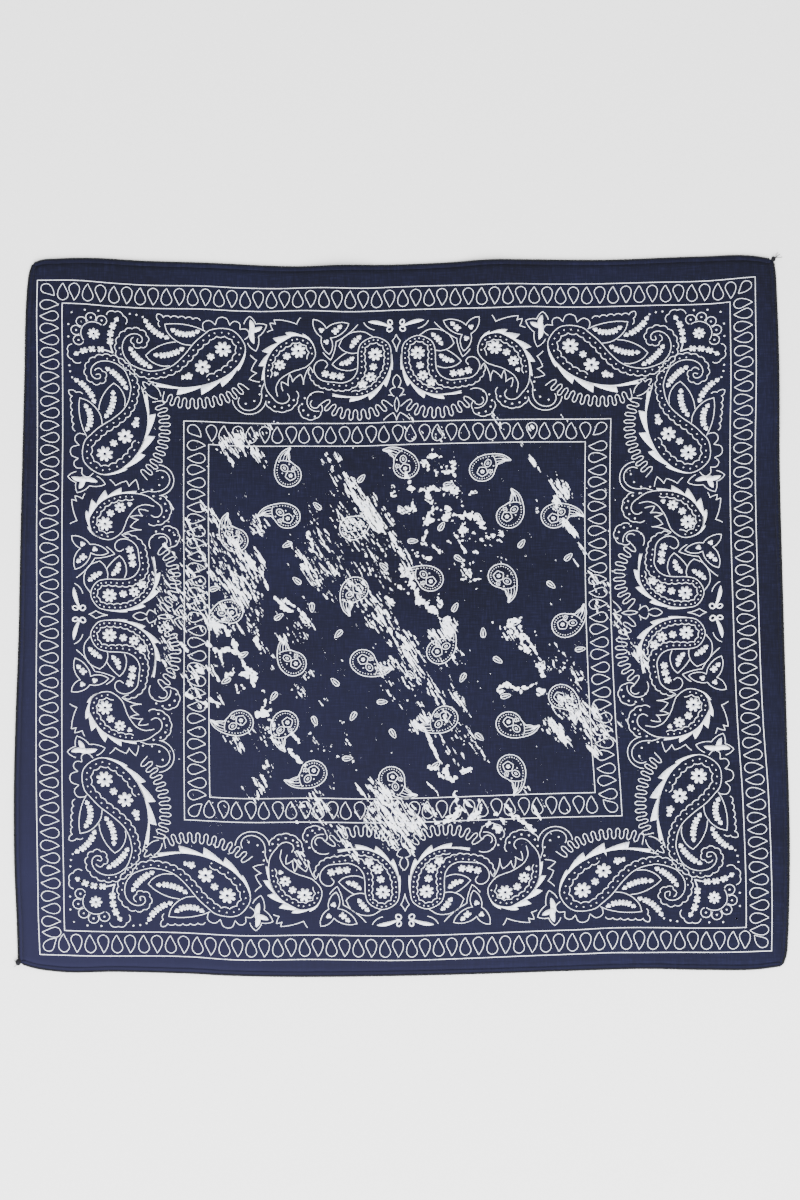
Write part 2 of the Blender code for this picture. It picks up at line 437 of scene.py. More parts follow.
def tube_faces(count, sides):
    """The faces of a closed tube made of rings of points, with a face at either end."""
    faces = [tuple(range(sides)), tuple((count - 1) * sides + i for i in range(sides))]
    for step in range(count - 1):
        for side in range(sides):
            a, b = step * sides + side, step * sides + (side + 1) % sides
            faces.append((a, b, b + sides, a + sides))
    return faces


for edge, node, at in EDGES:
    rings = []
    for inward, above in ROLL_SECTION:
        along = np.linspace(inward + 0.15, SIDE - inward - 0.15, HEM_STEPS + 1)
        puff = 1 + 0.05 * np.sin(along / 3.1) + 0.04 * np.sin(along / 7.7 + len(node))
        rings.append(hem_point(at, along, np.full_like(along, inward), above * puff))
    points = np.stack(rings, axis=1).reshape(-1, 3)
    hem = make_piece(edge + "_hem_fold", points, tube_faces(HEM_STEPS + 1, len(rings)))
    recalculate(hem)
    hem.data.materials.append(cotton)
    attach(hem, "root")
    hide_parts(node)

# ---------------------------------------------------------------------------------------
# The edge stitching
# ---------------------------------------------------------------------------------------
# A near-black overlock thread wraps the outer part of each hem in close slanting loops,
# 1.3 mm apart. Every second one reaches further in, so the black edge looks scalloped.

STITCH_PITCH = 1.3
STITCH_REACH = 1.75        # mm that a loop comes in over the fold
SHORT_LOOP = 0.62          # share of that reach for every second loop
# The thread pulls the cloth into a tighter roll along the top and the bottom.
REACH_SHARE = {"top": 0.45, "bottom": 0.3, "left": 0.9, "right": 1.0}
THREAD_THICK = 0.85        # mm, over the whole bundle
LOOPER_RADIUS = 0.62       # mm, the thread that runs along under the loops
LOOP_SIDES = 5

# One loop, seen along the edge. Columns: mm inwards, height in mm, mm along (the slant).
LOOP_PATH = (
    (STITCH_REACH, 0.10, 1.1), (-0.15, 0.35, 0.2), (-0.25, 0.8, 0.0), (0.05, 1.25, -0.2),
    (0.7, 1.52, -0.5), (1.4, 1.58, -0.8), (STITCH_REACH, 1.45, -1.1),
)


def tube(path, radii, sides):
    """Points and faces of a closed round tube along a path, both in metres."""
    path = np.asarray(path, float)
    tangent = np.gradient(path, axis=0)
    tangent /= np.linalg.norm(tangent, axis=1)[:, None]
    helper = np.where(np.abs(tangent[:, 2:3]) > 0.9, np.array((1.0, 0, 0)), np.array((0, 0, 1.0)))
    across = np.cross(tangent, helper)
    across /= np.linalg.norm(across, axis=1)[:, None]
    upward = np.cross(across, tangent)
    turn = 2 * math.pi * np.arange(sides) / sides
    ring = (
        np.cos(turn)[None, :, None] * across[:, None, :]
        + np.sin(turn)[None, :, None] * upward[:, None, :]
    )
    points = (path[:, None, :] + np.asarray(radii, float)[:, None, None] * ring).reshape(-1, 3)
    return points, tube_faces(len(path), sides)


def joined(parts):
    """Many (points, faces) parts as one."""
    points, faces, start = [], [], 0
    for part_points, part_faces in parts:
        points.append(part_points)
        faces += [tuple(start + i for i in face) for face in part_faces]
        start += len(part_points)
    return np.concatenate(points), faces


# Overlock thread: spun polyester, almost black, softly glossy along the twist.
overlock, tree, shader = new_finish(
    "spun_polyester_overlock_thread", 0.75, Specular_IOR_Level=0.2, Sheen_Weight=0.03,
)
where = add_node(tree, "ShaderNodeTexCoord").outputs["Object"]
twist = add_node(tree, "ShaderNodeTexNoise", {"Scale": 900.0, "Detail": 2.0}, {"Vector": where})
tone = add_node(
    tree, "ShaderNodeValToRGB", {"stops": ((0.35, "#040509"), (0.65, "#0b0c14"))},
    {"Fac": twist.outputs["Fac"]},
)
tree.links.new(tone.outputs["Color"], shader.inputs["Base Color"])
bump = add_node(
    tree, "ShaderNodeBump", {"Strength": 0.5, "Distance": 0.0001}, {"Height": twist.outputs["Fac"]}
)
tree.links.new(bump.outputs["Normal"], shader.inputs["Normal"])

wander = np.random.default_rng(7)
for edge, node, at in EDGES:
    first = KNOT_RADIUS["bottom_left"] + 0.6 if edge in ("bottom", "left") else 1.2
    last = SIDE - (KNOT_RADIUS["top_right"] + 0.6 if edge in ("top", "right") else 1.2)
    count = round((last - first) / STITCH_PITCH)
    parts = []
    for number, place_mm in enumerate(np.linspace(first + 1.1, last - 1.1, count)):
        slip, size = wander.uniform(-0.2, 0.2), wander.uniform(0.88, 1.12)
        reach = size * REACH_SHARE[edge] * (SHORT_LOOP if number % 2 else 1)
        inward = np.array([row[0] for row in LOOP_PATH])
        inward = np.where(inward > 0, inward * reach, inward)
        above = np.array([row[1] for row in LOOP_PATH])
        along = np.clip(place_mm + slip + np.array([row[2] for row in LOOP_PATH]), 0.3, SIDE - 0.3)
        loop = hem_point(at, along, inward, above)
        loop[:, 2] = np.maximum(loop[:, 2], 0.0003)
        radii = np.full(len(loop), THREAD_THICK / 2 * MM)
        radii[[0, -1]] *= 0.55
        parts.append(tube(loop, radii * size, LOOP_SIDES))
    # The looper thread runs along under the loops and closes the edge between them.
    run = np.linspace(first, last, count)
    bead = hem_point(at, run, np.full_like(run, 0.30), 0.75 + 0.12 * np.sin(run * 2.4))
    parts.append(tube(bead, np.full(len(bead), LOOPER_RADIUS * MM), LOOP_SIDES))
    points, faces = joined(parts)
    stitches = make_piece(edge + "_edge_stitching", points, faces)
    recalculate(stitches)
    stitches.data.materials.append(overlock)
    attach(stitches, "root")

# ---------------------------------------------------------------------------------------
# The corner knots
# ---------------------------------------------------------------------------------------
# The overlock thread ends in a small tied knot at two corners. The one at the top right
# keeps a short wisp of cut thread, and the one at the bottom left is pulled into a ball.

# Columns: name, CAD node, corner, knot radius in mm, turns, wisps as (reach x, reach y, height).
KNOTS = (
    ("top_right_knot", "knot_top_right", "top_right", 2.3, 6,
     ((6.6, 2.6, 0.9), (5.2, 4.6, 0.6), (3.6, 5.6, 0.5))),
    ("bottom_left_knot", "knot_bottom_left", "bottom_left", 2.9, 8,
     ((-3.4, 1.6, 0.7), (-2.6, -3.2, 0.5))),
)
WISP_STEPS = 14

for name, node, corner, radius, turns, wisps in KNOTS:
    centre = np.array((*(np.array(CORNERS[corner]) - MIDDLE), radius * 0.78))
    turn = np.linspace(0, 2 * math.pi * turns, turns * 18)
    roll = turn * 0.37
    ball = np.stack([
        np.cos(turn) * np.cos(roll) * 0.8,
        np.sin(turn),
        np.cos(turn) * np.sin(roll) * 0.62,
    ], axis=1) * radius * 0.74
    parts = [tube((centre + ball) * MM, np.full(len(ball), 0.40 * MM), 7)]
    core = np.stack([np.linspace(-0.6, 0.6, 7) * radius, np.zeros(7), np.zeros(7)], axis=1)
    core_radii = np.array((0.3, 0.62, 0.78, 0.8, 0.78, 0.62, 0.3)) * radius * 0.8
    parts.append(tube((centre + core) * MM, core_radii * MM, 10))
    for reach_x, reach_y, height in wisps:
        share = np.linspace(0, 1, WISP_STEPS)
        path = np.stack([
            centre[0] + reach_x * share + 0.35 * np.sin(share * 7 + reach_y),
            centre[1] + reach_y * share + 0.35 * np.sin(share * 5 + reach_x),
            0.35 + (centre[2] + height - 0.35) * (1 - share) ** 1.5,
        ], axis=1)
        parts.append(tube(path * MM, (0.30 - 0.16 * share) * MM, 6))
    points, faces = joined(parts)
    knot = make_piece(name, points, faces)
    recalculate(knot)
    knot.data.materials.append(overlock)
    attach(knot, "root")
    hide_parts(node)

# ---------------------------------------------------------------------------------------
# The printed frame lines
# ---------------------------------------------------------------------------------------
# The pattern is printed in white pigment through a screen. Its sizes are those of the flat
# screen, in mm from the middle. The cloth has slipped a little, so the print bows with it.
# Four thin square lines frame the two chains of drops and the field.

PRINT_HALF = 262.5

# Where the outermost line lies. Columns: mm along the screen, mm from the middle.
PRINT_TOP = (
    (-262.5, 262.2), (-232, 262.1), (-208, 259.9), (-186, 258.4), (-139, 257.5),
    (-116, 256.1), (-69, 255.4), (-23, 255.7), (0, 256.8), (47, 258.3), (93, 259.1),
    (139, 259.2), (186, 260.5), (232, 262.0), (250, 263.8), (262.5, 265.0),
)
PRINT_BOTTOM = (
    (-262.5, -265.0), (-232, -266.3), (-162, -267.0), (-116, -269.3), (-70, -268.8),
    (0, -269.5), (46, -267.9), (93, -265.8), (139, -264.2), (186, -263.4), (232, -263.3),
    (262.5, -262.3),
)
PRINT_LEFT = (
    (-262.5, -258.9), (-232, -260.5), (-209, -261.1), (-139, -263.1), (-69, -264.2),
    (0, -264.8), (70, -265.8), (139, -266.2), (209, -267.4), (232, -268.0), (262.5, -267.9),
)
PRINT_RIGHT = (
    (-262.5, 264.8), (-232, 265.6), (-186, 265.2), (-139, 264.0), (-93, 261.4),
    (-46, 259.8), (0, 259.0), (46, 258.3), (93, 258.0), (139, 258.6), (186, 259.8),
    (232, 259.9), (262.5, 260.1),
)

# How far the print has slipped further inside, in mm. Rows run from the bottom up and
# columns from the left to the right, at the places in SLIP_AT.
SLIP_AT = (-244, -155, 0, 155, 244)
SLIP = (
    ((0, 0), (0, 0), (0, 0), (0, 0), (0, 0)),
    ((0, 0), (-1.5, -2.2), (0, -2.4), (2.0, -2.2), (0, 0)),
    ((0, 0), (0, 0), (0, 0), (0, 0), (0, 0)),
    ((0, 0), (-0.5, -0.6), (0, 0), (1.6, -0.8), (0, 0)),
    ((0, 0), (0, 0), (0, 0), (0, 0), (0, 0)),
)

INK_ABOVE = 0.13           # mm that the print's face stands above the cloth's
INK_THICK = 0.10           # mm, pigment and binder
LINE_STEP = 1.15           # mm between the points of a curved line


def printed(points):
    """Where points of the flat screen lie on the cloth, in mm from the middle."""
    u, v = np.asarray(points, float).T
    share_u, share_v = (u / PRINT_HALF + 1) / 2, (v / PRINT_HALF + 1) / 2
    x = smooth(PRINT_LEFT, v) * (1 - share_u) + smooth(PRINT_RIGHT, v) * share_u
    y = smooth(PRINT_BOTTOM, u) * (1 - share_v) + smooth(PRINT_TOP, u) * share_v
    at = np.array(SLIP_AT, float)
    slip = np.array(SLIP, float)
    col = np.clip(np.searchsorted(at, u, side="right") - 1, 0, len(at) - 2)
    row = np.clip(np.searchsorted(at, v, side="right") - 1, 0, len(at) - 2)
    fu = np.clip((u - at[col]) / (at[col + 1] - at[col]), 0, 1)[:, None]
    fv = np.clip((v - at[row]) / (at[row + 1] - at[row]), 0, 1)[:, None]
    moved = (
        (slip[row, col] * (1 - fu) + slip[row, col + 1] * fu) * (1 - fv)
        + (slip[row + 1, col] * (1 - fu) + slip[row + 1, col + 1] * fu) * fv
    )
    return np.stack([x, y], axis=1) + moved


# White pigment print: matt and a little chalky. The weave shows through it, and it is
# thinner in the hollows between the yarns, where specks of navy come through.
pigment, tree, shader = new_finish("white_pigment_screen_print", 0.85, Specular_IOR_Level=0.25)
where = add_node(tree, "ShaderNodeTexCoord").outputs["Object"]
weave = weave_height(tree, where)
specks = add_node(
    tree, "ShaderNodeTexNoise", {"Scale": 620.0, "Detail": 3.0, "Roughness": 0.65},
    {"Vector": where},
)
tone = add_node(
    tree, "ShaderNodeValToRGB",
    {"stops": ((0.26, "#9aa2c0"), (0.40, "#d9deee"), (0.52, "#f2f4fb"), (0.75, "#fcfdff"))},
    {"Fac": specks.outputs["Fac"]},
)
tree.links.new(tone.outputs["Color"], shader.inputs["Base Color"])
bump = add_node(tree, "ShaderNodeBump", {"Strength": 0.4, "Distance": 0.00015}, {"Height": weave})
tree.links.new(bump.outputs["Normal"], shader.inputs["Normal"])


def print_on(name, shapes, above=0.0):
    """Prints flat shapes, each (points in screen mm, faces), on the cloth as one thin film.
    A second pass of ink lies a little above the first."""
    points, faces, start = [], [], 0
    for number, (flat, shape_faces) in enumerate(shapes):
        # Neighbouring shapes may overlap, so each lies a few thousandths of a mm higher.
        step = 0.004 * (number % 7)
        spot = printed(flat)
        height = CLOTH_THICK + CLOTH_CLEAR + INK_ABOVE + above + step
        points.append(on_cloth(spot, height))
        faces += [tuple(start + i for i in face) for face in shape_faces]
        start += len(flat)
    film = make_piece(name, np.concatenate(points), faces)
    bpy.ops.object.select_all(action="DESELECT")
    film.select_set(True)
    thicken(film, INK_THICK)
    film.data.materials.append(pigment)
    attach(film, "root")
    return film


def turned(shape, turn, mirror=False, move=(0, 0)):
    """A flat shape mirrored left to right, turned by an angle in radians and then moved."""
    points, faces = shape
    points = np.array(points, float)
    if mirror:
        points = points * (-1, 1)
        faces = [tuple(reversed(face)) for face in faces]
    cosine, sine = math.cos(turn), math.sin(turn)
    spun = np.stack([
        points[:, 0] * cosine - points[:, 1] * sine, points[:, 0] * sine + points[:, 1] * cosine,
    ], axis=1)
    return spun + np.array(move, float), faces


def frame_line(half, width, steps=64):
    """A square line round the middle with mitred corners."""
    along = np.linspace(-1, 1, steps, endpoint=False)
    one = np.ones(steps)
    loop = np.concatenate([
        np.stack([along, -one], 1), np.stack([one, along], 1),
        np.stack([-along, one], 1), np.stack([-one, -along], 1),
    ])
    count = len(loop)
    points = np.concatenate([loop * (half - width / 2), loop * (half + width / 2)])
    faces = []
    for i in range(count):
        after = (i + 1) % count
        faces.append((i, count + i, count + after, after))
    return points, faces


# Columns: mm from the middle to the line, width in mm.
FRAME_LINES = ((262.5, 0.50), (244.0, 0.52), (155.0, 0.48), (136.9, 0.48))
print_on("print_frame_lines", [frame_line(half, width) for half, width in FRAME_LINES])

# ---------------------------------------------------------------------------------------
# The two chains of drops
# ---------------------------------------------------------------------------------------
# Between the frame lines run chains of outlined drops, tip out and tip in by turns. Each
# drop leans a little, and one lies across each corner.


def flow(points, closed=False, step=LINE_STEP):
    """A smooth line through a few set points, with its own points an even step apart."""
    knots = np.array(points, float)
    if closed:
        knots = np.concatenate([knots[-2:], knots, knots[:3]])
    gaps = np.linalg.norm(np.diff(knots, axis=0), axis=1) ** 0.7
    at = np.concatenate([[0], np.cumsum(gaps)])
    first, last = (at[2], at[-3]) if closed else (0, at[-1])
    fine = smooth(list(zip(at, knots)), np.linspace(first, last, 14 * len(knots)))
    length = np.concatenate([[0], np.cumsum(np.linalg.norm(np.diff(fine, axis=0), axis=1))])
    count = max(2, round(length[-1] / step) + 1)
    even = np.linspace(0, length[-1], count)
    line = np.stack([np.interp(even, length, fine[:, i]) for i in (0, 1)], axis=1)
    return line[:-1] if closed else line


def left_of(line, closed=False):
    """Unit vectors pointing to the left of a line, at each of its points."""
    if closed:
        ahead = np.roll(line, -1, axis=0) - np.roll(line, 1, axis=0)
    else:
        ahead = np.gradient(line, axis=0)
    ahead /= np.maximum(np.linalg.norm(ahead, axis=1), 1e-9)[:, None]
    return np.stack([-ahead[:, 1], ahead[:, 0]], axis=1)


def stroke(line, width, closed=False, round_ends=True):
    """A pen stroke along a line. The width may change along it."""
    line = np.asarray(line, float)
    half = np.broadcast_to(np.asarray(width, float) / 2, (len(line),))[:, None]
    side = left_of(line, closed)
    count = len(line)
    points = np.concatenate([line + side * half, line - side * half])
    faces = [(i, count + i, count + i + 1, i + 1) for i in range(count - 1)]
    if closed:
        faces.append((count - 1, 2 * count - 1, count, 0))
    elif round_ends:
        extra = []
        for end, sign in ((0, -1), (count - 1, 1)):
            ahead = np.array((side[end, 1], -side[end, 0])) * sign
            start = 2 * count + len(extra)
            for angle in (45, 90, 135):
                bend = math.radians(angle)
                spoke = side[end] * sign * math.cos(bend) + ahead * math.sin(bend)
                extra.append(line[end] + spoke * half[end])
            left, right = (end, count + end) if sign > 0 else (count + end, end)
            faces.append((left, right, start + 2, start + 1, start))
        points = np.concatenate([points, np.array(extra)])
    return points, faces


# Half outline of a drop. Columns: share of the length from the tip, mm to one side and
# to the other.
DROP_SIDES = (
    (0.00, 0.0, 0.0), (0.10, 0.60, 1.10), (0.24, 1.45, 2.30), (0.42, 2.65, 3.35),
    (0.58, 3.60, 3.80), (0.74, 3.90, 3.80), (0.88, 3.00, 2.95), (0.96, 1.70, 1.70),
)
DROP_LINE = 0.41


def drop(length):
    """A leaning drop with its tip at the origin, pointing away from its round end at +Y."""
    one = [(-left, share * length) for share, left, _ in DROP_SIDES[1:]]
    other = [(right, share * length) for share, _, right in DROP_SIDES[1:]]
    outline = [(0, 0)] + one + [(0, length)] + other[::-1] + [(0, 0)]
    return stroke(flow(outline, step=1.3), DROP_LINE)


def chain(tip_out, tip_in, half, length, corner_tip, corner_length, slips):
    """Drops round all four sides. Each side is the one before it turned by a quarter.

    Slips are how far the drops of the top, right, bottom and left side sit along it, in mm.
    """
    shapes = []
    for quarter, slip in enumerate(slips):
        turn = -math.pi / 2 * quarter
        side = [
            turned(drop(length), math.pi, move=(at + slip, half + length / 2)) for at in tip_out
        ]
        side += [turned(drop(length), 0, move=(at + slip, half - length / 2)) for at in tip_in]
        side.append(turned(drop(corner_length), -math.pi / 4, move=(corner_tip, corner_tip)))
        shapes += [turned(shape, turn) for shape in side]
    return shapes


OUTER_PITCH = 19.2         # mm from one drop to the next that points the same way
outer_out = [-243.8] + [-244.8 + OUTER_PITCH * k for k in range(1, 26)]
outer_in = [-235.5 + OUTER_PITCH * k for k in range(25)] + [244.3]
print_on("print_outer_drops", chain(
    outer_out, outer_in, half=253.4, length=13.6, corner_tip=250.0, corner_length=12.4,
    slips=(0.1, 2.0, 0.6, -1.6),
))

INNER_PITCH = 19.39
inner_in = [-134.9 + INNER_PITCH * k for k in range(15)]
inner_out = [-125.6 + INNER_PITCH * k for k in range(14)]
print_on("print_inner_drops", chain(
    inner_out, inner_in, half=145.9, length=13.2, corner_tip=142.4, corner_length=12.4,
    slips=(0.1, 1.5, 0.8, -0.8),
))

# ---------------------------------------------------------------------------------------
# The paisleys of the border
# ---------------------------------------------------------------------------------------
# The border is drawn once for half a side and mirrored eight times. Each half side has
# three paisleys: a plain outline, a bunting line that follows it inside, and a row of
# beads between the two. White thorns stand on the outer curve of each.

PEN = 0.44                 # mm, the common pen width
STEM_PEN = 0.9             # mm, the width of a stem
BEAD = 0.49                # mm, radius of a bead
LOOSE_DOT = 0.68           # mm, radius of a dot that stands by itself


def eight_times(shapes):
    """The shapes of half a side, copied to both halves of all four sides."""
    copies = []
    for quarter in range(4):
        turn = math.pi / 2 * quarter
        copies += [turned(shape, turn, mirror) for shape in shapes for mirror in (False, True)]
    return copies


def dot(centre, radius, sides=10):
    """A round dot."""
    turn = 2 * math.pi * np.arange(sides) / sides
    points = np.array(centre) + radius * np.stack([np.cos(turn), np.sin(turn)], axis=1)
    return points, [tuple(range(sides))]


def lengths(line):
    """How far along the line each of its points is, in mm."""
    return np.concatenate([[0], np.cumsum(np.linalg.norm(np.diff(line, axis=0), axis=1))])


def nearest(line, point):
    """The number of the point of a line that is nearest to a place."""
    return int(np.argmin(np.linalg.norm(line - np.array(point, float), axis=1)))


def bunting(line, gap, pitch, depth, step=0.9):
    """A line beside another, hung in small swags of about the given pitch."""
    side = left_of(line)
    along = lengths(line)
    share = along / along[-1]
    beside = line + side * smooth(gap, share)[:, None]
    run = lengths(beside)
    swags = max(1, round(run[-1] / pitch))
    even = np.linspace(0, run[-1], max(2, round(run[-1] / step)) // swags * swags + 1)
    place = np.stack([np.interp(even, run, beside[:, i]) for i in (0, 1)], axis=1)
    inwards = np.stack([np.interp(even, run, side[:, i]) for i in (0, 1)], axis=1)
    sag = depth * np.abs(np.sin(math.pi * swags * even / run[-1])) ** 0.8
    return place + inwards * sag[:, None]


def beads(line, gap, pitches, radius=BEAD):
    """Dots beside a line. The pitch changes evenly from the first to the last of pitches."""
    side = left_of(line)
    along = lengths(line)
    shapes, at = [], 0.0
    while at <= along[-1]:
        place = np.array([np.interp(at, along, line[:, i]) for i in (0, 1)])
        inwards = np.array([np.interp(at, along, side[:, i]) for i in (0, 1)])
        reach = float(smooth(gap, at / along[-1]))
        shapes.append(dot(place + inwards * reach, radius, 8))
        at += pitches[0] + (pitches[1] - pitches[0]) * at / along[-1]
    return shapes


def thorn(line, start, end, tip, belly=0.8):
    """A solid white thorn that stands on a line between two places and runs out to a tip."""
    a, b = nearest(line, start), nearest(line, end)
    edge = line[a:b + 1] if a < b else line[b:a + 1][::-1]
    count = len(edge)
    share = (np.arange(count) / (count - 1))[:, None]
    reach = np.array(tip, float) - edge[-1]
    outer = edge + reach * share ** belly
    thin = (edge[-1] - edge[0]) / max(np.linalg.norm(edge[-1] - edge[0]), 1e-9)
    outward = reach - thin * (reach @ thin)
    outward = outward / max(np.linalg.norm(outward), 1e-9)
    inner = edge - outward * 0.35
    points = np.concatenate([inner, outer + outward * 0.25 * (1 - share)])
    faces = [(i, i + 1, count + i + 1, count + i) for i in range(count - 1)]
    across, upward = points[1] - points[0], points[count + 1] - points[0]
    if across[0] * upward[1] - across[1] * upward[0] < 0:
        faces = [tuple(reversed(face)) for face in faces]
    return points, faces


def curl(centre, start, sweep, first, last, swell=1.0):
    """A spiral line round a centre. Angles are in degrees, and the radius goes from first to
    last, evenly where swell is 1 and mostly near the end where it is more."""
    share = np.linspace(0, 1, 22)
    angle = np.radians(start + sweep * share)
    radius = first + (last - first) * share ** swell
    ring = np.stack([np.cos(angle), np.sin(angle)], axis=1)
    return flow(np.array(centre) + radius[:, None] * ring)


def body(middle, halves):
    """The outline of a paisley from its middle line, tail to head, and the half width at each
    of the line's own points. It runs up one side, round the head and down the other."""
    spots = np.array(middle, float)
    share = lengths(spots) / lengths(spots)[-1]
    line = flow(middle)
    half = smooth(list(zip(share, halves)), lengths(line) / lengths(line)[-1])[:, None]
    side = left_of(line)
    ahead = np.array((side[-1, 1], -side[-1, 0]))
    turn = np.radians(np.linspace(-75, 75, 9))[:, None]
    head = line[-1] + half[-1] * (np.cos(turn) * ahead + np.sin(turn) * side[-1])
    return np.concatenate([line - side * half, head, (line + side * half)[::-1]])


def with_curl(tail, outline):
    """One smooth line through the curl of a tail and the outline that it grows from."""
    return flow(np.concatenate([tail, outline])[::3])


# Each paisley: the curl of its tail, then its middle line and half widths, in mm.
S_LINE = with_curl(
    curl((53, 201.5), -110, -335, 2.6, 12.5, 3),
    body(((48, 183.5), (38, 182), (27, 184.5), (20, 191), (16.5, 200), (16, 211)),
         (4.5, 5.5, 8.5, 10.5, 12.0, 12.2)),
)
COMMA_LINE = with_curl(
    curl((81.5, 176), 125, 220, 3.2, 8.0, 2.5),
    body(((88.5, 176), (91.5, 183), (91, 191), (87.5, 199), (81, 206.5), (72, 211.5)),
         (1.8, 3.6, 5.8, 9.2, 12.0, 13.0)),
)
SPIRAL_LINE = with_curl(
    curl((188, 217.8), 65, -500, 1.8, 20.5, 4.5),
    body(((181, 190), (169, 189.5), (158, 191), (146, 196.5), (134, 206), (127, 213)),
         (3.8, 6.4, 10.2, 14.4, 17.4, 17.0)),
)


def part_of(line, start, end):
    """The stretch of a line between the places nearest to two points."""
    a, b = nearest(line, start), nearest(line, end)
    return line[min(a, b):max(a, b) + 1]


def thorns(line, start, end, count, reach, out=-1):
    """A row of thorns along a line, longest in the middle of the row. They stand on the right
    of the line, or on its left where out is 1."""
    part = part_of(line, start, end)
    side = left_of(part)
    shapes = []
    for number in range(count):
        first = round((len(part) - 1) * max(0, number - 0.15) / count)
        last = round((len(part) - 1) * (number + 1) / count)
        swell = math.sin(math.pi * (number + 0.7) / (count + 0.4))
        onward = part[last] - part[max(last - 1, 0)]
        tip = part[last] + out * side[last] * reach * swell + onward
        shapes.append(thorn(part, part[first], part[last], tip))
    return shapes


s_inside = part_of(S_LINE, (59, 198), (33, 176.5))
comma_inside = part_of(COMMA_LINE, (97, 192), (60.5, 203))
spiral_inside = part_of(SPIRAL_LINE, (188.5, 219.5), (136, 184.5))
spiral_beaded = part_of(SPIRAL_LINE, (197.5, 211.5), (138, 184.5))
# Gaps between an outline and its bunting line. Columns: share of the way, mm.
S_GAP = ((0, 3.2), (0.1, 5.2), (0.2, 5.8), (0.4, 4.2), (0.75, 4.6), (1, 4.2))
COMMA_GAP = ((0, 4.7), (0.3, 4.8), (0.7, 5.0), (1, 4.2))
SPIRAL_GAP = ((0, 3.4), (0.25, 4.8), (0.45, 5.4), (0.7, 6.1), (1, 5.8))


def half_of(gap, part=0.52):
    """A gap table for the beads, which run midway to the bunting line."""
    return tuple((share, value * part) for share, value in gap)


print_on("print_paisley_lines", eight_times([
    stroke(S_LINE, PEN), stroke(COMMA_LINE, PEN), stroke(SPIRAL_LINE, PEN),
    stroke(bunting(s_inside, S_GAP, 5.0, 1.0), PEN),
    stroke(bunting(comma_inside, COMMA_GAP, 5.4, 1.1), PEN),
    stroke(bunting(spiral_inside, SPIRAL_GAP, 6.0, 1.25), PEN),
]))
s_beaded = part_of(S_LINE, (50, 188), (31, 176.5))
comma_beaded = part_of(COMMA_LINE, (97, 193), (58.5, 205))
print_on("print_paisley_beads", eight_times(
    beads(s_beaded, half_of(S_GAP), (4.1, 4.3))
    + beads(comma_beaded, half_of(COMMA_GAP, 0.58), (4.6, 5.6))
    + beads(spiral_beaded, half_of(SPIRAL_GAP, 0.56), (4.6, 7.3))
))
print_on("print_paisley_thorns", eight_times(
    thorns(S_LINE, (4, 210), (45, 178.5), 5, 4.6)
    + thorns(COMMA_LINE[::-1], (59.5, 217), (97, 191), 6, 6.0, out=1)
    + thorns(SPIRAL_LINE, (111, 213), (174, 185.5), 5, 6.8)
))

# ---------------------------------------------------------------------------------------
# The flowers and leaves of the border
# ---------------------------------------------------------------------------------------
# Small solid flowers fill the paisleys, some with a navy eye. Outlined leaves hang on the
# paisleys' backs, each with a spray of florets, and more sprays stand free by the corner.


def flower(centre, radius, petals, eye=0.0, turn=0.3, notch=0.46):
    """A solid flower with round petals. An eye is a hole in its middle."""
    steps = petals * 4
    angle = 2 * math.pi * np.arange(steps) / steps
    lobe = np.abs(np.cos(petals * angle / 2)) ** 0.7
    reach = radius * (1 - notch + notch * lobe)
    rim = np.stack([np.cos(angle + turn), np.sin(angle + turn)], axis=1)
    outer = np.array(centre) + rim * reach[:, None]
    inner = np.array(centre) + rim * max(eye, radius * 0.12)
    faces = [(i, (i + 1) % steps, steps + (i + 1) % steps, steps + i)[::-1] for i in range(steps)]
    if not eye:
        faces.append(tuple(steps + i for i in range(steps)))
    return np.concatenate([outer, inner]), faces


def bud(centre, radius=2.0, turn=0.0):
    """A bud with three round lobes."""
    return flower(centre, radius, 3, turn=turn, notch=0.42)


def floret(centre, stem, size=1.0):
    """A floret with four round lobes, across a stem that runs at an angle in radians."""
    return flower(centre, 3.15 * size, 4, turn=stem + math.pi / 4, notch=0.62)


def arc(start, end, bulge):
    """A smooth arc between two places, which bulges to its left by a share of its length."""
    a, b = np.array(start, float), np.array(end, float)
    left = np.array((a[1] - b[1], b[0] - a[0])) * bulge
    shoulder = left * (0.64 + 0.32 * abs(bulge))
    return flow((a, a * 0.8 + b * 0.2 + shoulder, (a + b) / 2 + left,
                 a * 0.2 + b * 0.8 + shoulder, b))


def arcs(cusps, bulge):
    """A row of arcs between cusps."""
    return [stroke(arc(a, b, bulge), PEN) for a, b in zip(cusps, cusps[1:])]


def spaced(line, count):
    """Places at even steps along a line, with both ends."""
    along = lengths(line)
    even = np.linspace(0, along[-1], count)
    return np.stack([np.interp(even, along, line[:, i]) for i in (0, 1)], axis=1)


def spray(start, end, bulge, kinds):
    """Florets (f) and buds (b) at even steps along a bent stem."""
    stem = arc(start, end, bulge)
    spots = spaced(stem, len(kinds))
    ahead = np.gradient(spots, axis=0)
    shapes = [stroke(stem, STEM_PEN)]
    for number, kind in enumerate(kinds):
        angle = math.atan2(ahead[number][1], ahead[number][0])
        if kind == "f":
            shapes.append(floret(spots[number], angle, 0.9))
        else:
            shapes.append(bud(spots[number], 1.9, angle if number else angle + math.pi))
    return shapes


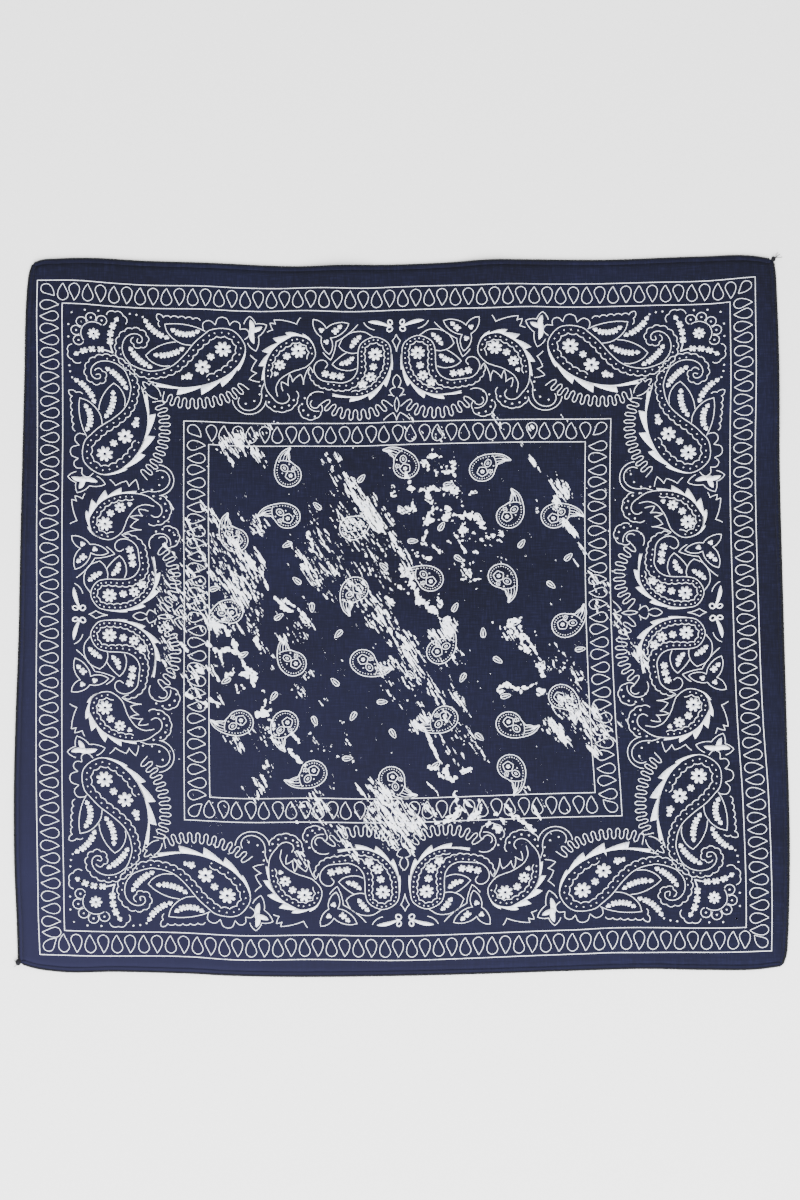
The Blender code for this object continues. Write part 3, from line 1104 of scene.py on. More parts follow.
# Columns: middle across and up, radius, petals, radius of the eye, all in mm.
PAISLEY_FLOWERS = (
    (15.5, 209.5, 5.4, 8, 1.0), (17, 199.5, 3.0, 6, 0), (19, 191.5, 4.0, 7, 0.9),
    (25, 186, 3.7, 5, 0), (41, 192.5, 2.9, 6, 0), (46.5, 193, 3.0, 6, 0),
    (52, 194.5, 3.0, 6, 0), (71.5, 212.5, 5.6, 8, 1.0), (80, 208.5, 3.0, 6, 0),
    (85, 201.5, 4.2, 7, 0.9), (126.5, 213, 6.2, 8, 1.15), (135.5, 206.5, 2.9, 6, 0),
    (141.5, 198, 5.8, 7, 1.15), (151.5, 190.5, 3.0, 5, 0),
)
# Columns: middle across and up, radius, angle of a lobe in radians.
BUDS = ((88, 194.5, 1.9, 0.9), (155.5, 189.5, 1.9, 3.1), (54.5, 229, 2.1, 0.6), (51, 220, 2.1, 4.4))
# Columns: first place, last place, bulge to the left, kinds in order.
SPRAYS = (
    ((27, 223.5), (32.5, 216.5), 0.05, "bfb"), ((32.5, 206.5), (40, 202.5), -0.1, "bfb"),
    ((41, 232), (44.5, 228.5), 0.0, "bf"), ((145, 226), (163, 227), -0.16, "bfffb"),
    ((156.5, 212), (175.5, 207), -0.1, "bfffb"), ((167.5, 221), (183, 234), -0.1, "bfffb"),
    ((194, 211), (180, 197.5), 0.08, "bfffb"), ((209, 216), (204, 234), -0.08, "fffb"),
)

blooms = [flower((a, b), size, petals, eye) for a, b, size, petals, eye in PAISLEY_FLOWERS]
blooms += [bud((a, b), size, turn) for a, b, size, turn in BUDS]
for start, end, bulge, kinds in SPRAYS:
    blooms += spray(start, end, bulge, kinds)
corner_flower = flower((221.0, 221.0), 4.6, 8, 0.8, turn=math.pi / 4)
corner_flowers = [turned(corner_flower, math.pi / 2 * quarter) for quarter in range(4)]
print_on("print_border_flowers", eight_times(blooms) + corner_flowers)

# The leaves, each drawn as a few arcs that meet in sharp tips.
# Columns: from, to, bulge to the left as a share of the length.
LEAF_SIDES = (
    ((17, 223.5), (42, 216.5), 0.3), ((42, 216.5), (28.5, 211), 0.16),
    ((36, 211.5), (47, 202), 0.05), ((47, 202), (29.5, 198.5), 0.17),
    ((139.5, 226.5), (169, 231.5), 0.08), ((169, 231.5), (150, 215), 0.18),
    ((161, 217.5), (183, 206.5), 0.1), ((183, 206.5), (165.5, 198.5), 0.16),
)
# The three-cornered pod above the S, the pod above the next gap, and the round petals along
# the back of the big paisley's head. Columns: bulge, then the cusps.
LEAF_ROWS = (
    (0.15, (34.5, 234.5), (51, 230.5), (60.5, 237), (54.5, 223.5), (49, 210), (48, 223),
     (34.5, 234.5)),
    (-0.09, (111, 234), (107, 240), (102.5, 234), (94.5, 233), (100.5, 224), (102.5, 212.5),
     (108.5, 218.5)),
    (0.58, (110.5, 221.5), (114, 229.5), (121.5, 232.5), (132, 232), (140.5, 227)),
)
leaves = [stroke(arc(start, end, bulge), PEN) for start, end, bulge in LEAF_SIDES]
for bulge, *cusps in LEAF_ROWS:
    leaves += arcs(cusps, bulge)
print_on("print_border_leaves", eight_times(leaves))

# ---------------------------------------------------------------------------------------
# The lines, vines and ribbons of the border
# ---------------------------------------------------------------------------------------
# Between the paisleys run looping vines, zigzags, curls, a small bow at the middle of each
# side and a round rosette in each corner, all in the same pen line.


def looping(middle, swings, reach, round_by=1.25):
    """A vine that swings to alternate sides of a middle line, with a round turn at each."""
    spots = spaced(middle, swings)
    sign = np.where(np.arange(swings) % 2, 1.0, -1.0)[:, None]
    tips = spots + left_of(spots) * reach * sign
    points = [tips[0]]
    for before, tip, after in zip(tips, tips[1:], tips[2:]):
        outward = tip - (before + after) / 2
        outward /= np.linalg.norm(outward)
        onward = np.array((outward[1], -outward[0]))
        if onward @ (after - before) < 0:
            onward = -onward
        base = tip - outward * round_by
        points += [base - onward * round_by, tip, base + onward * round_by]
    points.append(tips[-1])
    return flow(points, step=0.9)


def spindle(line, widths):
    """A solid stroke whose width swells and tapers along it."""
    share = np.linspace(0, 1, len(line))
    return stroke(line, np.maximum(smooth(widths, share), 0.3))


def oval(centre, long_half, short_half, turn, width, sides=14):
    """A drawn oval ring."""
    angle = 2 * math.pi * np.arange(sides) / sides
    ring = np.stack([long_half * np.cos(angle), short_half * np.sin(angle)], axis=1)
    shape = stroke(ring, width, closed=True)
    return turned(shape, turn, move=centre)


# The vines below the S and below the big paisley.
vines = [
    stroke(looping(arc((5.5, 171), (54, 172.5), -0.21), 19, 4.3), PEN),
    stroke(looping(arc((110.5, 185), (171, 174), -0.16), 24, 4.2), PEN),
]
# Rows of short arcs. Columns: bulge, then the cusps.
SHORT_ROWS = (
    # The ornaments at the middle of the side.
    (-0.05, (0, 224.5), (3, 219.5), (0, 211)),
    (0.1, (0, 192.5), (3, 187.5), (1, 182.5), (5, 180.5), (2, 175.5), (6, 176.5)),
    (0.14, (0, 174.5), (0, 163)), (0.05, (0, 156.5), (2.5, 162.5), (9.5, 157)),
    (-0.12, (16, 229), (23.5, 235)), (-0.05, (28, 233.5), (44, 220), (48, 205.5), (53.5, 211.5)),
    # The flame between the S and the comma.
    (0.07, (61, 195.5), (63.5, 200), (68, 186), (70, 194), (76, 188), (78, 194), (79, 185),
     (84, 188), (83, 181)),
    # Zigzags above and beside the comma's thorns.
    (0.05, (70, 238), (72.5, 233), (89, 237), (88, 233.5), (92, 234.5), (90, 229), (94, 227.5)),
    (0.05, (106.5, 209), (102, 205), (106, 197), (102, 195), (107.5, 190), (100, 188)),
    # The end of the wavy line above the leaf, and half of the cross where two vines meet.
    (0.2, (170, 237), (174.5, 239.5), (173, 234), (172.5, 229.5)),
    (0.12, (172, 174.5), (178, 183.5), (177.5, 185.5), (180.5, 183), (185.2, 185.2)),
)
for bulge, *cusps in SHORT_ROWS:
    vines += arcs(cusps, bulge)
# Curls and hooks. Columns: middle, first angle, sweep in degrees, first and last radius, swell.
CURLS = (
    ((57.5, 172), 118, -215, 8.5, 7.4, 1), ((59.5, 170.5), 50, -215, 3.5, 3.3, 1),
    ((107.5, 174.5), 188, 165, 12.3, 12.3, 1), ((109.5, 173), 133, 250, 18.5, 5.5, 0.3),
)
vines += [stroke(curl(*row), PEN) for row in CURLS]
# Scalloped lines round the curls, over the leaf and by the corner. Columns: line, scallops, bulge.
SCALLOPS = (
    (curl((62.5, 166.5), 154, 227, 7.8, 8.5), 5, -0.2),
    (curl((84, 176.5), 160, 180, 11.8, 12.2), 6, -0.18),
    (arc((143, 235), (170, 237), 0.02), 5, 0.26),
    (curl((205.5, 231.5), 186, -143, 8.2, 8.2), 3, 0.27),
)
for line, count, bulge in SCALLOPS:
    vines += arcs(spaced(line, count + 1), bulge)
# The bow: two thick loops with small holes, and a ribbon end.
RIBBON_END = ((0, 1.4), (0.25, 2.3), (0.6, 2.8), (0.8, 2.2), (1, 0.6))
vines += [
    oval((4.4, 234.4), 2.0, 1.5, 1.2, 0.95, 12), oval((4.7, 229.0), 2.1, 1.8, 2.4, 0.95, 12),
    dot((5.0, 231.5), 1.5),
    spindle(arc((6.5, 232), (20, 235.5), 0.05), RIBBON_END),
]
# The solid flower in the pod.
POD_LOBE = ((0, 3.2), (0.3, 3.5), (0.65, 3.3), (0.88, 2.0), (1, 0.5))
POD_LOBES = (
    ((105, 227.5), (106.5, 237)), ((106, 228.5), (98, 231.5)), ((105.5, 230), (104, 218.5)),
)
for start, end in POD_LOBES:
    vines.append(spindle(arc(start, end, 0.06), POD_LOBE))
# The corner rosette: an arc with five looped petals and a bent stem. Half of it is drawn here,
# so the petal on the diagonal is half a loop.
ROSETTE = (221.0, 221.0)
PETAL_SIZE = 3.75
DIAGONAL = 45
# Columns: way of the petal in degrees, mm from the middle of the rosette to that of the petal.
PETALS = ((118, 12.6), (81.5, 12.9), (DIAGONAL, 12.6))
LOOSE_DOTS = []
vines.append(stroke(curl(ROSETTE, 127, -82, 9.4, 9.4), PEN))
for angle, reach in PETALS:
    out = math.radians(angle)
    middle = np.array(ROSETTE) + reach * np.array((math.cos(out), math.sin(out)))
    first, sweep = (angle - 132, 264) if angle != DIAGONAL else (angle, 132)
    vines.append(stroke(curl(middle, first, sweep, PETAL_SIZE, PETAL_SIZE), PEN))
    LOOSE_DOTS.append(tuple(middle))
vines.append(stroke(arc((207.2, 207.2), (204, 234), -0.12), STEM_PEN))
print_on("print_border_vines", eight_times(vines))
# Rows of loose dots. Columns: the line that they follow, how many.
DOT_ROWS = (
    (curl((60, 169.5), 72, -165, 9, 9), 6), (curl((84.5, 178), 205, 150, 10.5, 10.5), 6),
    (curl((110, 183), 170, 100, 10.5, 12.5), 4), (arc((185, 237), (194.5, 239), 0.05), 3),
    (arc((217.5, 239.5), (237, 237), 0.06), 3),
)
for line, count in DOT_ROWS:
    LOOSE_DOTS += [tuple(spot) for spot in spaced(line, count)]
print_on("print_border_dots", eight_times([dot(spot, LOOSE_DOT, 8) for spot in LOOSE_DOTS]))

# ---------------------------------------------------------------------------------------
# The small paisleys of the field
# ---------------------------------------------------------------------------------------
# Inside the inner frame the navy field is strewn with small paisleys, each about 30 mm
# long. One drawing serves for all: a bold outline, a row of dots inside it, a five-sided
# rosette in the head, two eyes towards the tail and a brush of lines that runs to the tip.

FIELD_PEN = 0.44
FIELD_OUTLINE = 0.58
FIELD_DOT = 0.38
ROSETTE_REACH = 4.0

# The middle line from the tail to the head, and the half width at each place, in mm.
outline = body(
    ((-22, 3.2), (-17.5, 6), (-12, 7), (-7, 5.8), (-3, 3.8), (-0.2, 1.6)),
    (0.3, 2.4, 4.3, 7.0, 8.8, 9.3),
)
inside = part_of(outline, (-9.0, -2.0), (-10.5, 11.5))
turn = 2 * math.pi * np.arange(10) / 10
corner_reach = ROSETTE_REACH * np.where(np.arange(10) % 2, 0.86, 1.0)
five = corner_reach[:, None] * np.stack([np.cos(turn), np.sin(turn)], axis=1)
field_paisley = [stroke(outline, FIELD_OUTLINE)]
field_paisley += beads(inside, ((0, 1.9), (1, 1.9)), (2.3, 2.3), FIELD_DOT)
field_paisley += [
    stroke(five, 0.52, closed=True),
    flower((0, 0), 1.55, 5, 0.45, turn=0.6, notch=0.3),
    oval((-5.4, 5.3), 3.0, 2.3, 2.3, FIELD_PEN),
    oval((-5.4, 5.3), 1.1, 0.6, 2.3, 0.4, 10),
    oval((-5.6, -1.4), 1.7, 1.3, 0.6, FIELD_PEN, 12),
    dot((-5.6, -1.4), 0.5, 6),
    dot((-1.2, 6.3), 0.55, 6), dot((-8.9, 2.2), 0.55, 6),
    stroke(arc((-10.5, 1.5), (-10.3, 10.4), 0.1), FIELD_PEN),
    spindle(arc((-15.8, 6.3), (-21.6, 3.3), 0.02), ((0, 0.6), (0.4, 2.0), (0.75, 1.4), (1, 0.5))),
]
# The brush: four lines that draw together towards the tip.
for number in range(4):
    start, end = (-11.6, 2.7 + 2.2 * number), (-18.8, 4.2 + 0.6 * number)
    field_paisley.append(stroke(arc(start, end, 0.1 - 0.07 * number), 0.36))

# Columns: middle of the head in mm, way of the tail in degrees, belly to the right of it.
FIELD_PAISLEYS = (
    (-77.0, 113.5, 91, False), (6.4, 118.0, 137, True), (62.5, 114.0, 23, False),
    (-79.0, 79.6, 175, True), (80.4, 78.0, 82, True), (114.1, 76.2, 3, False),
    (-115.8, 62.3, 108, False), (-33.6, 72.6, 55, True), (24.5, 28.7, 169, True),
    (73.9, 31.5, -72, False), (-28.6, 24.3, -106, True), (-120.4, 5.2, 222, True),
    (119.7, -7.6, 45, True), (28.3, -25.8, 67, True), (-74.2, -34.2, 109, False),
    (-25.5, -30.5, -17, True), (-113.9, -77.3, 182, False), (-80.5, -79.1, 265, True),
    (32.8, -75.2, 195, False), (78.3, -81.3, -9, True), (115.4, -63.3, -62, False),
    (-62.4, -116.2, 198, False), (-6.3, -120.3, -40, True), (76.3, -115.3, -83, False),
)
TAIL_AT = math.atan2(3.2, -22.0)

paisleys = []
for across, up, tail, belly_right in FIELD_PAISLEYS:
    turn = math.radians(tail) - TAIL_AT if belly_right else math.radians(tail) - math.pi + TAIL_AT
    paisleys += [turned(shape, turn, not belly_right, (across, up)) for shape in field_paisley]
print_on("print_field_paisleys", paisleys)

# ---------------------------------------------------------------------------------------
# The seeds of the field
# ---------------------------------------------------------------------------------------
# Between the paisleys lie small seeds: a pointed oval with a short stroke down its middle,
# drawn more heavily at its round end.

SEED_REACH = 3.8           # mm from the middle to either end
SEED_BELLY = 2.4           # mm, half of the width
turn = 2 * math.pi * np.arange(13) / 12
half_width = SEED_BELLY * np.sin(turn) * (1 - 0.28 * (1 + np.cos(turn)))
seed = [
    stroke(flow(np.stack([SEED_REACH * np.cos(turn), half_width], axis=1), step=1.2), 0.5),
    spindle(arc((-2.4, 0), (1.7, 0), 0.02), ((0, 0.5), (0.4, 0.85), (1, 0.4))),
    dot((-3.1, 0), 0.6, 8),
]
# Columns: middle in mm, way of the pointed end in degrees.
SEEDS = (
    (-25.4, 111.2, 50), (-57.6, 89.5, 135), (-79.6, 58.9, 205), (-72.9, 30.5, 138),
    (-62.2, 9.4, 270), (-86.3, 2.3, 35), (32.8, 71.6, 58), (11.9, 60.7, 0),
    (-9.7, 41.4, 135), (45.1, 45.9, -38), (3.7, 85.6, 125), (90.9, 56.5, 55),
    (124.8, 45.4, 45), (111.9, 23.6, -42), (41.9, 7.9, 62), (61.9, -12.4, 90),
    (72.1, -33.8, -35), (132.0, -26.9, 8), (-45.9, -48.3, 135), (-90.2, -58.9, 235),
    (-124.6, -47.4, 215), (-12.0, -63.1, 0), (-4.9, -87.4, -62), (-60.9, -78.4, -70),
    (-33.2, -74.1, 240), (46.4, -46.4, 240), (-37.9, -106.4, 8), (-43.1, -10.9, 228),
    (38.0, 104.5, 10), (86.0, -5.0, 20), (104.0, -39.0, 70), (57.0, -92.0, -45),
    (25.0, -112.5, 40), (9.0, -43.0, -40), (77.0, -61.5, 10), (59.8, 78.0, -50),
    (-112.0, -27.0, 30), (-133.0, 23.2, 20),
)
print_on("print_field_seeds", [
    turned(shape, math.radians(turn), move=(across, up))
    for across, up, turn in SEEDS for shape in seed
])

# ---------------------------------------------------------------------------------------
# The distressed patches
# ---------------------------------------------------------------------------------------
# A second pass of the same white pigment imitates wear: ragged streaks that run down to the
# right, webs of small blots, and solid patches with flecks of navy left in them. The places
# are listed, and a seeded noise gives each its ragged edge.

STREAK_WAY = math.radians(-60.0)
WEAR_CELL = 0.55          # mm, the grain of the ragged edge
WEAR_SPAN = (-182.0, 184.0, -193.0, 162.0)

# Streaked patches. Columns: middle, half length and half width in mm, way of the length in
# degrees, share of it that is white.
STREAKS = (
    # Upper left corner of the field.
    (-117, 138, 9, 11, -60, 0.75), (-100, 129, 10, 4, -54, 0.66), (-105, 146, 5, 21, -60, 0.33),
    (-122, 127, 13, 1.4, -57, 0.6), (-116, 123, 9, 1.2, -57, 0.45), (-130, 136, 6, 3, -60, 0.4),
    # The left of the field and the frame beside it.
    (-147, 60, 22, 9, -78, 0.38), (-134, 80, 12, 3.6, -52, 0.62), (-114, 55, 27, 6, -57, 0.51),
    (-108, 43, 13, 6, -60, 0.81), (-126, 49, 20, 8, -58, 0.32), (-129, 31, 21, 5.5, -55, 0.62),
    (-114, 21, 15, 12, -60, 0.76), (-105, 9, 10, 5, -60, 0.51), (-122, 63, 11, 10, -60, 0.41),
    (-124, 5, 10, 13, -60, 0.37), (-136, -3, 13, 4.5, -66, 0.76), (-158, 10, 26, 15, -60, 0.38),
    (-172, 26, 18, 6, -62, 0.35), (-162, 48, 15, 3.4, -58, 0.37), (-147, 22, 20, 8, -68, 0.41),
    (-164, 88, 10, 1.0, -60, 0.33), (-150, 44, 16, 6, -66, 0.33), (-118, -4, 12, 3, -60, 0.50),
    (-99, 73, 10, 7, -60, 0.41), (-114, 82, 5, 1.2, -60, 0.75), (-98, 45, 12, 2, -66, 0.50),
    (-110, 98, 4, 2.5, -60, 0.29), (-106, -7, 9, 3, -60, 0.51),
    # The middle of the left half.
    (-63, 39, 27, 4.8, -59, 0.58), (-52, 52, 36, 13, -60, 0.36), (-47, 41, 10, 7, -60, 0.52),
    (-33, 24, 15, 9, -60, 0.37), (-86, 50, 6, 4, -60, 0.12), (-60, 76, 18, 7, -60, 0.3),
    (-49, 124, 9, 4, -60, 0.52), (-42, 126, 7, 2.2, -60, 0.6), (-44, 108, 14, 1.6, -62, 0.5),
    (-33, 104, 12, 5.5, -58, 0.75), (-24, 90, 17, 5.4, -60, 0.84), (-15, 77, 12, 5, -56, 0.8),
    (-26, 74, 34, 17, -60, 0.37), (-34, 71, 12, 9, -60, 0.58), (-10, 86, 16, 3, -60, 0.5),
    (0, 59, 20, 3.6, -62, 0.66), (7, 39, 6, 4.6, -60, 0.78), (-20, 44, 27, 15, -60, 0.27),
    (-25, 38, 7, 3, -60, 0.5), (-8, 35, 4, 2, -60, 0.6), (-8, 62, 12, 4, -60, 0.3),
    # The long diagonal down the middle.
    (-8, -4, 24, 6, -60, 0.64), (-20, 6, 18, 7, -60, 0.46), (-12, 15, 16, 5, -60, 0.34),
    (3, -22, 20, 4.4, -62, 0.7), (9, -30, 32, 6.5, -64, 0.56), (10, -20, 16, 5, -60, 0.5),
    (4, -42, 16, 6, -60, 0.35),
    (22, -52, 20, 4, -62, 0.55), (40, -80, 32, 7, -60, 0.32), (33, -96, 20, 6, -60, 0.3),
    (52, -95, 22, 4, -58, 0.42), (15, -80, 5, 9, -48, 0.8), (23, -97, 13, 1.4, -68, 0.95),
    (-8, -36, 5, 8, -60, 0.7), (-4, -56, 26, 6, -60, 0.24), (36, -9, 7, 8, -60, 0.85),
    (28, -15, 8, 5, -60, 0.5), (44, -30, 8, 5, -60, 0.3), (34, -40, 12, 3, -60, 0.3),
    (15, -66, 14, 4, -60, 0.2), (44, -64, 14, 3.5, -60, 0.4),
    # The left side below the middle.
    (-72, -10, 9, 7, -60, 0.5), (-66, 0, 9, 3, -58, 0.86), (-84, -15, 5, 3, -60, 0.6),
    (-148, -50, 12, 7, -60, 0.55), (-168, -14, 15, 8, -60, 0.36), (-166, -36, 12, 5, -70, 0.36),
    (-95, -92, 12, 4, -60, 0.4), (-95, -112, 5, 3.4, -60, 0.5), (-117, -95, 7, 4, -60, 0.5),
    (-129, -90, 6, 2.4, -60, 0.4), (-101, -124, 8, 4.5, -74, 0.55), (-105, -136, 3, 4, -60, 0.5),
    (-65, -43, 3, 6, -60, 0.6), (-71, -54, 8, 2.4, -60, 0.5), (-57, -64, 5, 6, -60, 0.3),
    (-96, -26, 12, 5, -60, 0.3), (-88, -40, 8, 4, -60, 0.24), (-113, -88, 4, 12, -70, 0.3),
    (-38, -96, 4, 4, -60, 0.35), (-42, -78, 3, 3, -60, 0.3), (-60, -94, 5, 2, -60, 0.4),
    (-128, -62, 6, 3, -60, 0.6), (-134, -42, 8, 3, -60, 0.5), (-140, -66, 4, 6, -60, 0.4),
    # The bottom of the field and the frame below it.
    (-13, -137, 15, 7.5, -60, 0.76), (-21, -128, 6, 3.5, -60, 0.7), (-2, -154, 18, 9, -60, 0.8),
    (6, -152, 15, 6, -60, 0.75), (-30, -131, 10, 2, -56, 0.6), (-56, -147, 17, 6, -62, 0.6),
    (-48, -156, 14, 6, -60, 0.45), (-22, -152, 14, 8, -60, 0.42),
    (-39, -174, 13, 3, -62, 0.7), (-46, -161, 9, 4, -60, 0.5), (-72, -148, 12, 8, -60, 0.27),
    (-73, -184, 7, 5, -60, 0.6), (19, -146, 9, 5, -60, 0.5), (-62, -139, 6, 6, -60, 0.4),
    (-10, -166, 12, 8, -60, 0.45), (2, -172, 10, 4, -60, 0.5), (22, -130, 7, 1.4, -52, 0.7),
    (-50, -127, 4, 2, -60, 0.5), (-28, -150, 10, 4, -60, 0.35), (95, -152, 7, 1.2, -70, 0.7),
    (87, -134, 3, 4, -60, 0.5), (42, -106, 8, 5, -60, 0.4),
    # The right side.
    (100, 120, 7, 1.7, -58, 0.85), (121, 98, 9, 4.8, -52, 0.8), (113, 104, 7, 1.4, -64, 0.8),
    (117, 88, 7, 3.6, -80, 0.7), (126, 68, 9, 2.8, -50, 0.95), (102, 88, 8, 1.3, -84, 0.5),
    (135, 51, 6, 1.2, -60, 0.8), (130, 40, 4, 1.1, -60, 0.8), (149, 22, 16, 6, -58, 0.3),
    (162, -14, 20, 5.5, -66, 0.42), (174, -32, 12, 4, -55, 0.68), (150, 2, 10, 6, -60, 0.28),
    (80, -15, 6, 4, -60, 0.66), (120, -41, 5, 14, -84, 0.3), (130, -50, 12, 7, -60, 0.3),
    (131, -84, 24, 8, -58, 0.52), (141, -80, 18, 6, -60, 0.62), (115, -92, 14, 4, -56, 0.78),
    (106, -86, 5, 4, -60, 0.6), (148, -86, 14, 6, -62, 0.45), (121, -72, 11, 9, -60, 0.5),
    (159, -82, 8, 5, -60, 0.25), (137, -104, 8, 2.4, -58, 0.8), (116, -30, 12, 4, -60, 0.25),
    (76, 44, 6, 4, -60, 0.35), (50, 33, 12, 4, -70, 0.22), (78, -10, 4, 4, -60, 0.4),
    # The frame above the field.
    (10, 152, 17, 5, -60, 0.26), (29, 145, 10, 6, -60, 0.28), (73, 154, 7, 1.4, -55, 0.55),
    (90, 136, 4, 2, -60, 0.4), (97, 148, 2, 3, -60, 0.4),
)

# Webs of small blots. Each row: half width in mm, share that is white, then its line.
BLOTS = (
    (2.1, 0.76, (7, 115), (9, 107), (11, 102), (17, 101), (24, 102), (33, 101), (41, 100)),
    (2.0, 0.8, (41, 100), (46, 100), (51, 95), (57, 99)),
    (2.0, 0.75, (24, 102), (23, 95), (27, 89), (31, 86), (38, 85)), (1.5, 0.6, (11, 101), (12, 87)),
    (3.2, 0.8, (27, 81), (24, 79)), (1.8, 0.7, (27, 88), (25, 80), (20, 78)),
    (2.0, 0.85, (22, 75), (22, 67), (20, 61)), (2.0, 0.7, (20, 59), (26, 57), (31, 53)),
    (2.0, 0.8, (32, 76), (40, 80), (47, 79)), (2.4, 0.8, (47, 79), (53, 80), (59, 77), (63, 71)),
    (1.8, 0.75, (45, 99), (47, 90), (50, 82)), (2.8, 0.85, (45, 69), (50, 68)),
    (1.3, 0.85, (42, 66), (46, 58), (50, 51)), (2.6, 0.85, (2, 86), (8, 84), (12, 85)),
    (2.8, 0.75, (20, 122), (22, 117)), (3.4, 0.8, (34, 118), (37, 115)),
    (2.4, 0.7, (26, 133), (25, 128)),
    (2.6, 0.7, (42, 125), (44, 121)), (1.8, 0.6, (41, 115), (43, 108)),
    (1.9, 0.7, (66, 62), (75, 64)),
    (3.0, 0.7, (4, 104), (-2, 101), (-6, 102)), (2.0, 0.6, (10, 52), (24, 47)),
    (1.6, 0.6, (56, 66), (62, 60)), (1.6, 0.5, (55, 53), (58, 50)), (2.2, 0.55, (36, 63), (40, 57)),
    (2.8, 0.9, (9, 33), (13, 23), (15, 16), (21, 10)),
    (2.0, 0.85, (21, 10), (27, 6), (30, 1), (36, -1)),
    (1.6, 0.8, (29, 18), (31, 9)), (1.4, 0.8, (-2, 28), (8, 20)), (1.7, 0.7, (-8, 17), (4, 7)),
    (1.3, 0.8, (-101, 44), (-96, 30), (-93, 22), (-85, 13), (-81, 9)),
    (2.8, 0.85, (-84, 9), (-80, 7)),
    (2.2, 0.92, (-133, -4), (-126, -6), (-122, -12), (-117, -22)),
    (1.6, 0.8, (-133, -4), (-131, -14)),
    (2.0, 0.88, (-117, -22), (-113, -32), (-108, -42), (-104, -52)),
    (3.4, 0.9, (-109, -42), (-104, -46)),
    (1.8, 0.82, (-137, -20), (-130, -25), (-121, -25), (-112, -28)),
    (1.5, 0.8, (-119, -47), (-115, -57)),
    (1.4, 0.8, (-129, -26), (-127, -34)), (1.4, 0.7, (-104, -14), (-98, -28)),
    (1.6, 0.85, (-161, -16), (-152, -28), (-142, -42)), (1.5, 0.8, (-153, -60), (-140, -66)),
    (1.5, 0.7, (-137, -62), (-130, -66)), (2.6, 0.9, (-100, -71), (-95, -75), (-90, -80)),
    (1.5, 0.8, (-96, -82), (-90, -92), (-85, -98)),
    (1.5, 0.75, (-80, -100), (-73, -108), (-68, -113)),
    (1.2, 0.6, (-77, -88), (-72, -96)), (1.5, 0.7, (-84, 16), (-74, 10), (-66, -2)),
    (2.6, 0.8, (73, -57), (78, -52), (85, -57)),
    (2.8, 0.8, (85, -57), (92, -56), (99, -52), (103, -61)),
    (1.2, 0.9, (83, -7), (90, -20), (97, -32), (105, -47)),
    (0.9, 0.7, (88, -8), (96, -22), (103, -35)),
    (2.6, 0.7, (81, -4), (88, -3)), (2.0, 0.9, (102, -37), (106, -41)),
    (2.6, 0.78, (22, -113), (28, -120), (36, -123)),
    (2.6, 0.74, (36, -123), (42, -120), (48, -117)),
    (2.4, 0.8, (38, -136), (40, -145), (37, -151), (31, -154)), (1.8, 0.75, (33, -112), (30, -118)),
    (2.4, 0.75, (40, -145), (47, -150), (56, -155), (62, -160), (68, -164)),
    (1.8, 0.75, (55, -140), (55, -150), (60, -155)), (1.6, 0.7, (44, -140), (50, -146)),
    (2.2, 0.78, (74, -145), (78, -152), (85, -158), (92, -165)), (1.4, 0.7, (66, -150), (72, -158)),
    (2.0, 0.6, (28, -148), (24, -156)), (1.2, 0.4, (10, 160), (14, 152), (20, 144)),
    # Loose specks around the webs.
    (15, 0.2, (24, 118), (36, 105), (40, 90), (45, 68)), (11, 0.17, (40, 60), (75, 60)),
    (12, 0.18, (50, 42), (56, 25)), (15, 0.2, (-130, -30), (-110, -50)),
    (11, 0.18, (115, -35), (125, -52)),
    (13, 0.18, (-100, -60), (-88, -95)), (14, 0.16, (-72, -58), (-60, -95)),
    (11, 0.17, (-52, -100), (-30, -112)),
    (11, 0.2, (78, -10), (96, -22)), (12, 0.2, (28, -150), (62, -152)),
    (9, 0.2, (-76, -175), (-70, -188)),
)
SPECKS = 0.124             # share of loose specks over the whole field
STREAK_STRENGTH = 0.93     # what is left of the share of white in the streaks
WEAR_LOSS = 0.12           # share of white that is lost everywhere
SECOND_PASS = 0.032        # mm that the second pass of ink stands higher
# The white is cut into three pieces. Columns: name, mm to its right border.
THIRDS = (("left", -88), ("middle", 8), ("right", 184))


def grain(across, up, cell_across, cell_up, chance):
    """Smooth random values from 0 to 1, one for each cell of a lattice."""
    across, up = across / cell_across, up / cell_up
    across, up = across - across.min(), up - up.min()
    column, row = across.astype(int), up.astype(int)
    values = chance.random((row.max() + 2, column.max() + 2))
    fx, fy = across - column, up - row
    fx, fy = fx * fx * (3 - 2 * fx), fy * fy * (3 - 2 * fy)
    low = values[row, column] * (1 - fx) + values[row, column + 1] * fx
    high = values[row + 1, column] * (1 - fx) + values[row + 1, column + 1] * fx
    return low * (1 - fy) + high * fy


def evenly_spread(values):
    """The same pattern with its values spread evenly from 0 to 1."""
    order = np.empty(values.size)
    order[np.argsort(values, axis=None)] = np.linspace(0, 1, values.size)
    return order.reshape(values.shape)


chance = np.random.default_rng(22)
left_edge, right_edge, low_edge, high_edge = WEAR_SPAN
across, up = np.meshgrid(
    np.arange(left_edge, right_edge, WEAR_CELL), np.arange(low_edge, high_edge, WEAR_CELL)
)
along_streak = across * math.cos(STREAK_WAY) + up * math.sin(STREAK_WAY)
beside_streak = up * math.cos(STREAK_WAY) - across * math.sin(STREAK_WAY)
streaky = evenly_spread(
    0.95 * grain(along_streak, beside_streak, 7.0, 0.8, chance)
    + grain(along_streak, beside_streak, 2.8, 0.7, chance)
    + 0.45 * grain(across, up, 0.8, 0.8, chance)
    + 0.25 * grain(along_streak, beside_streak, 14.0, 4.0, chance)
)
blotchy = evenly_spread(
    0.8 * grain(across, up, 4.2, 4.2, chance) + grain(across, up, 1.9, 1.9, chance)
    + 0.7 * grain(across, up, 1.05, 1.05, chance)
)

